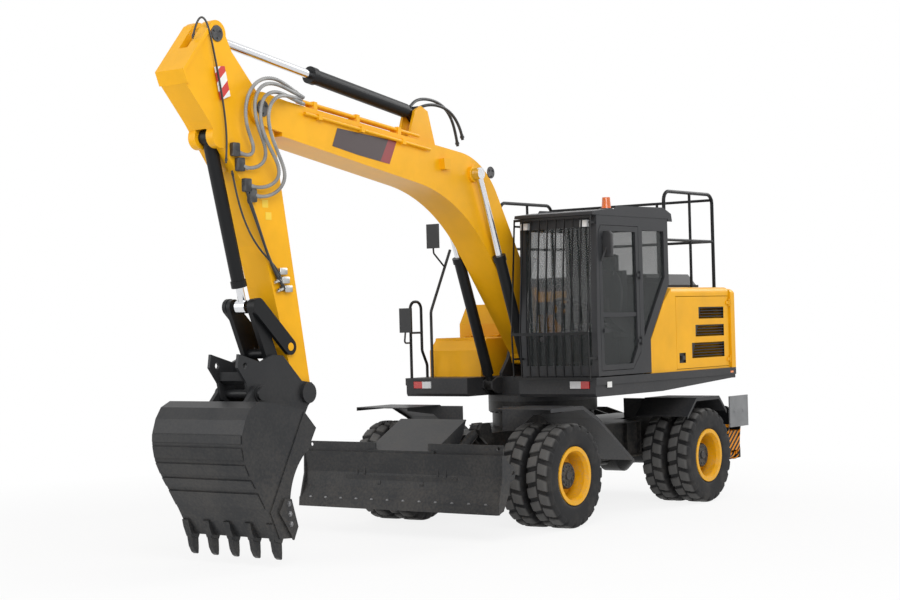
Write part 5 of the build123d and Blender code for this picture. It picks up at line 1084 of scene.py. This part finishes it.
class EXCAVATOR_OT_cab_trim(bpy.types.Operator):
    """Left mirror, wiper and the latches of the engine doors"""
    bl_idname = "excavator.cab_trim"
    bl_label = "Cab trim"

    def execute(self, context):
        x, y, z = at(*LEFT_MIRROR)
        head = plate((y, z) + rounded(0.15, 0.27, 0.045, 7), x - 0.020, x + 0.030, "x", 0.010)
        arm = hose([at(*p) for p in ((0.700, 1.245, 2.700), (0.690, 1.262, 2.760),
                                     (0.640, 1.262, 2.820), (0.610, 1.255, 2.860))], 0.011, 10, 40)
        glass = plate((y, z) + rounded(0.132, 0.250, 0.040, 7), x - 0.0235, x - 0.0195, "x",
                      0.001)
        make_piece("left_mirror", [head, arm], "trim", "cab_door")
        make_piece("left_mirror_glass", [glass], "chrome", "cab_door")
        blade = hose([at(*p) for p in WIPER], 0.007, 8, 40)
        motor = turned([(0, 0), (0.028, 0), (0.028, 0.018), (0.020, 0.028), (0, 0.028)],
                       tuple(at(*WIPER[0])), "x", 20)
        make_piece("wiper", [blade, motor], "trim", "upper")
        for side, y in zip(("left", "right"), DOOR_HANDLES):
            latch = block(at(-1.010, y - 0.004, 1.622), at(-0.950, y + 0.004, 1.668), 0.008, "y")
            make_piece(f"door_latch_{side}", [latch], "trim", f"engine_door_{side}")
        return {"FINISHED"}


class EXCAVATOR_OT_seat(bpy.types.Operator):
    """Stuffed seat, back and head rest over the seat's frame"""
    bl_idname = "excavator.seat"
    bl_label = "Seat"

    def execute(self, context):
        crown = context.scene.excavator_seat.crown
        for name, low, high, tip, channels in PADS:
            points, faces = cushion(low, high, crown, channels)
            middle = (np.array(low) + high) / 2
            c, s = math.cos(tip), math.sin(tip)
            rest = points - middle
            points = middle + np.stack([rest[:, 0] * c + rest[:, 2] * s, rest[:, 1],
                                        rest[:, 2] * c - rest[:, 0] * s], -1)
            points[:, 0] += SWING_X
            pad = make_piece(name, [(points, faces)], "cloth", "upper", 1.2)
        return {"FINISHED"}


MATERIALS = {}            # finish name to Shader, filled by the first operator
# node name to finish, where it isn't its record slot
FINISH = {"mirrors": "mirror", "lamps": "lamp", "engine_door_left": "door_paint",
          "engine_door_right": "door_paint", "bucket": "bucket_paint", "blade": "blade_paint",
          "outrigger_leg_left": "leg_paint", "outrigger_leg_right": "leg_paint",
          "outrigger_pad_left": "pad_grey", "outrigger_pad_right": "pad_grey",
          "cab_guard": "black_paint", "handrails": "black_paint", "hood": "black_paint"}


class EXCAVATOR_OT_finishes(bpy.types.Operator):
    """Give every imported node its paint, rubber, glass or chrome"""
    bl_idname = "excavator.finishes"
    bl_label = "Finishes"

    def execute(self, context):
        MATERIALS.update(make_materials())
        slots = {s["node"]: s["material_slot"] for s in frame["record"]["subparts"]}
        for name, node in NODES.items():
            finish = FINISH.get(name, slots.get(name, "black_paint"))
            if name.startswith("rim_"):
                finish = "rim_paint"
            node.data.materials.clear()
            node.data.materials.append(MATERIALS[finish].material)
        return {"FINISHED"}


class EXCAVATOR_PT_panel(bpy.types.Panel):
    """The pieces of the excavator, in the order in which they are made"""
    bl_idname = "EXCAVATOR_PT_panel"
    bl_label = "Wheeled excavator"
    bl_space_type = "VIEW_3D"
    bl_region_type = "UI"
    bl_category = "Excavator"

    def draw(self, context):
        for operator in OPERATORS:
            self.layout.operator(operator.bl_idname)


OPERATORS = (EXCAVATOR_OT_finishes, EXCAVATOR_OT_stage, EXCAVATOR_OT_tyres,
             EXCAVATOR_OT_wheel_nuts, EXCAVATOR_OT_arm_hoses, EXCAVATOR_OT_body_hoses,
             EXCAVATOR_OT_fittings, EXCAVATOR_OT_marks, EXCAVATOR_OT_blade_trim,
             EXCAVATOR_OT_cab_trim, EXCAVATOR_OT_seat)
GROUPS = (("excavator_stage", ExcavatorStage), ("excavator_tyres", ExcavatorTyres),
          ("excavator_hoses", ExcavatorHoses), ("excavator_marks", ExcavatorMarks),
          ("excavator_seat", ExcavatorSeat))


def register():
    for name, group in GROUPS:
        bpy.utils.register_class(group)
        setattr(bpy.types.Scene, name, bpy.props.PointerProperty(type=group))
    for kind in (*OPERATORS, EXCAVATOR_PT_panel):
        bpy.utils.register_class(kind)


def unregister():
    for kind in (EXCAVATOR_PT_panel, *reversed(OPERATORS)):
        bpy.utils.unregister_class(kind)
    for name, group in reversed(GROUPS):
        delattr(bpy.types.Scene, name)
        bpy.utils.unregister_class(group)


def main():
    register()
    for operator in OPERATORS:
        family, action = operator.bl_idname.split(".")
        getattr(getattr(bpy.ops, family), action)()


if __name__ == "__main__":
    main()
